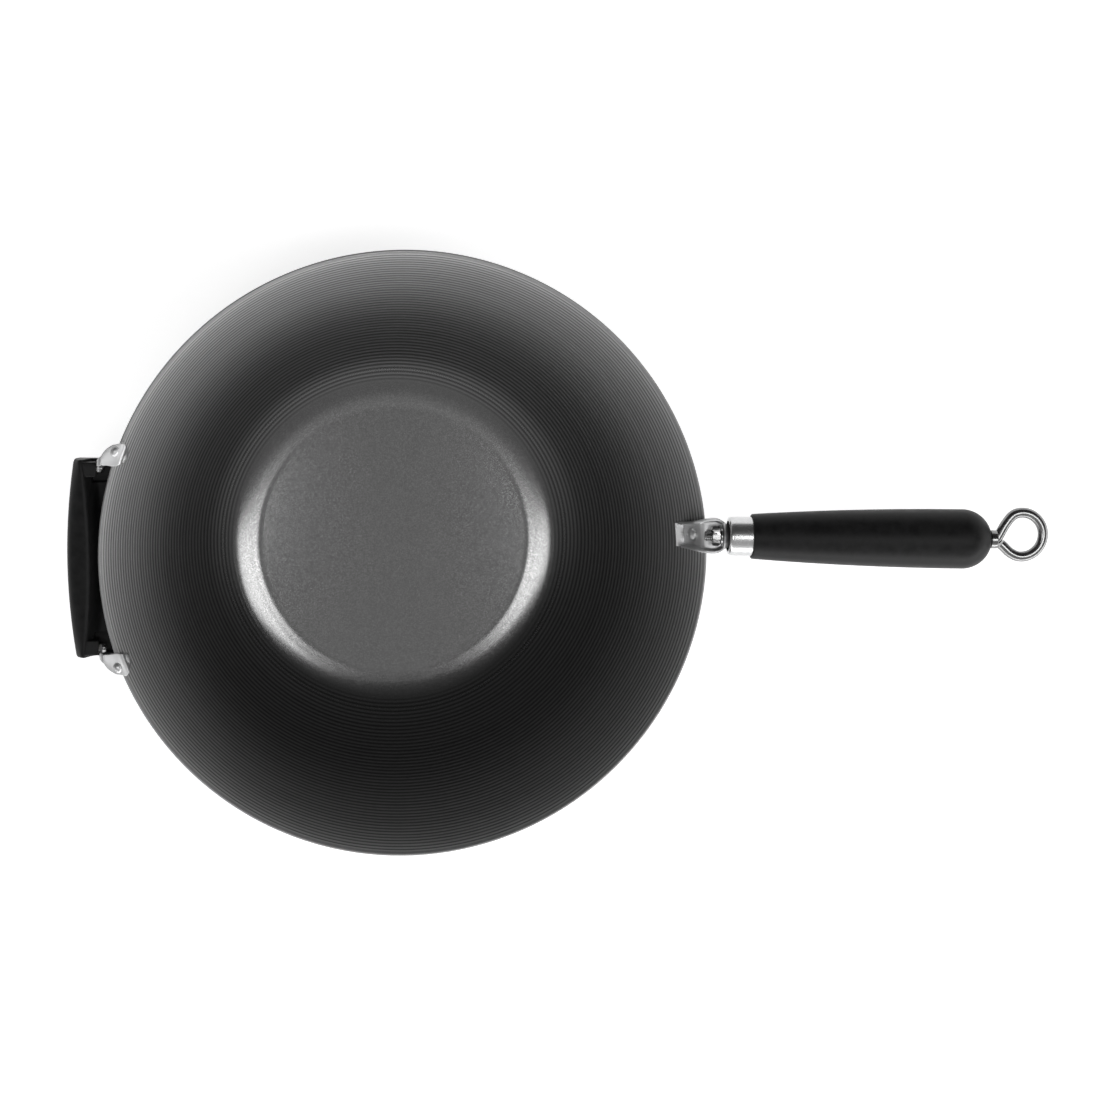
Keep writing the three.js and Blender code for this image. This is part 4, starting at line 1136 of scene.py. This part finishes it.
def studio_world():
    """White to the eye; for light and reflections, layers of wall that are brighter on the lit side."""
    world = bpy.data.worlds.new("studio")
    bpy.context.scene.world = world
    world.use_nodes = True
    tree = world.node_tree
    tree.nodes.clear()
    way = add(tree, "ShaderNodeTexCoord").outputs["Generated"]
    height = add(tree, "ShaderNodeSeparateXYZ", Vector=way).outputs["Z"]
    light = None
    for levels, towards, ends, strengths in (LOW_WALLS, LIT_WALL, MIDDLE_WALL, UPPER_ROOM):
        facing = add(tree, "ShaderNodeVectorMath", {"operation": "DOT_PRODUCT"}, i0=way, i1=towards).outputs["Value"]
        layer = add(tree, "ShaderNodeBackground", Color=grey_ramp(tree, height, levels),
                    Strength=remap(tree, facing, *ends, *strengths)).outputs[0]
        light = add(tree, "ShaderNodeAddShader", i0=light, i1=layer).outputs[0] if light else layer
    path = add(tree, "ShaderNodeLightPath").outputs
    plain = add(tree, "ShaderNodeBackground", Color=(1, 1, 1, 1), Strength=1.0)
    both = add(tree, "ShaderNodeMixShader", i0=either(tree, path["Is Camera Ray"], path["Is Transmission Ray"]),
               i1=light, i2=plain.outputs[0])
    add(tree, "ShaderNodeOutputWorld", Surface=both.outputs[0])


def softbox(name, place, width, height):
    """A rectangular lamp of even brightness that faces the bowl, measured in metres."""
    lamp = bpy.data.lights.new(name, "AREA")
    lamp.shape = "RECTANGLE"
    lamp.size, lamp.size_y = width, height
    lamp.energy = STRIP_RADIANCE * width * height * math.pi
    shown = put_in_scene(name, lamp)
    shown.location = place
    shown.rotation_mode = "QUATERNION"
    shown.rotation_quaternion = (STRIP_TARGET - Vector(place)).to_track_quat("-Z", "Y")
    shown.visible_camera = False


white_floor()
studio_world()
softbox("right_strip", (0.617, -0.03, 1.52), 0.42, 0.54)
softbox("left_strip", (-0.38, -0.085, 1.592), 0.29, 0.56)

# Camera, with its focal length in pixels of the frame and the rim's centre as the camera sees it
FRAME_WIDTH = 1100
FOCAL_LENGTH = 3088.0
SENSOR_WIDTH = 36.0
TILT_X, TILT_Y, ROLL = math.radians(6.13), math.radians(7.14), math.radians(0.7)
RIM_AS_SEEN = Vector((-83.9, -3.5, -1800.0))


def photo_camera():
    """A camera at the photograph's viewing angle."""
    turn = Matrix.Rotation(TILT_Y, 3, "Y") @ Matrix.Rotation(TILT_X, 3, "X") @ Matrix.Rotation(ROLL, 3, "Z")
    back = turn.transposed()
    lens = bpy.data.cameras.new("photo_camera")
    lens.sensor_width = SENSOR_WIDTH
    lens.lens = FOCAL_LENGTH / FRAME_WIDTH * SENSOR_WIDTH
    lens.clip_end = 50.0
    camera = put_in_scene("photo_camera", lens)
    spot = Vector((0, 0, RIM_HEIGHT)) - back @ RIM_AS_SEEN
    camera.matrix_world = Matrix.Translation(spot * MM) @ back.to_4x4()
    bpy.context.scene.camera = camera


photo_camera()
bpy.context.scene.view_settings.view_transform = "Standard"
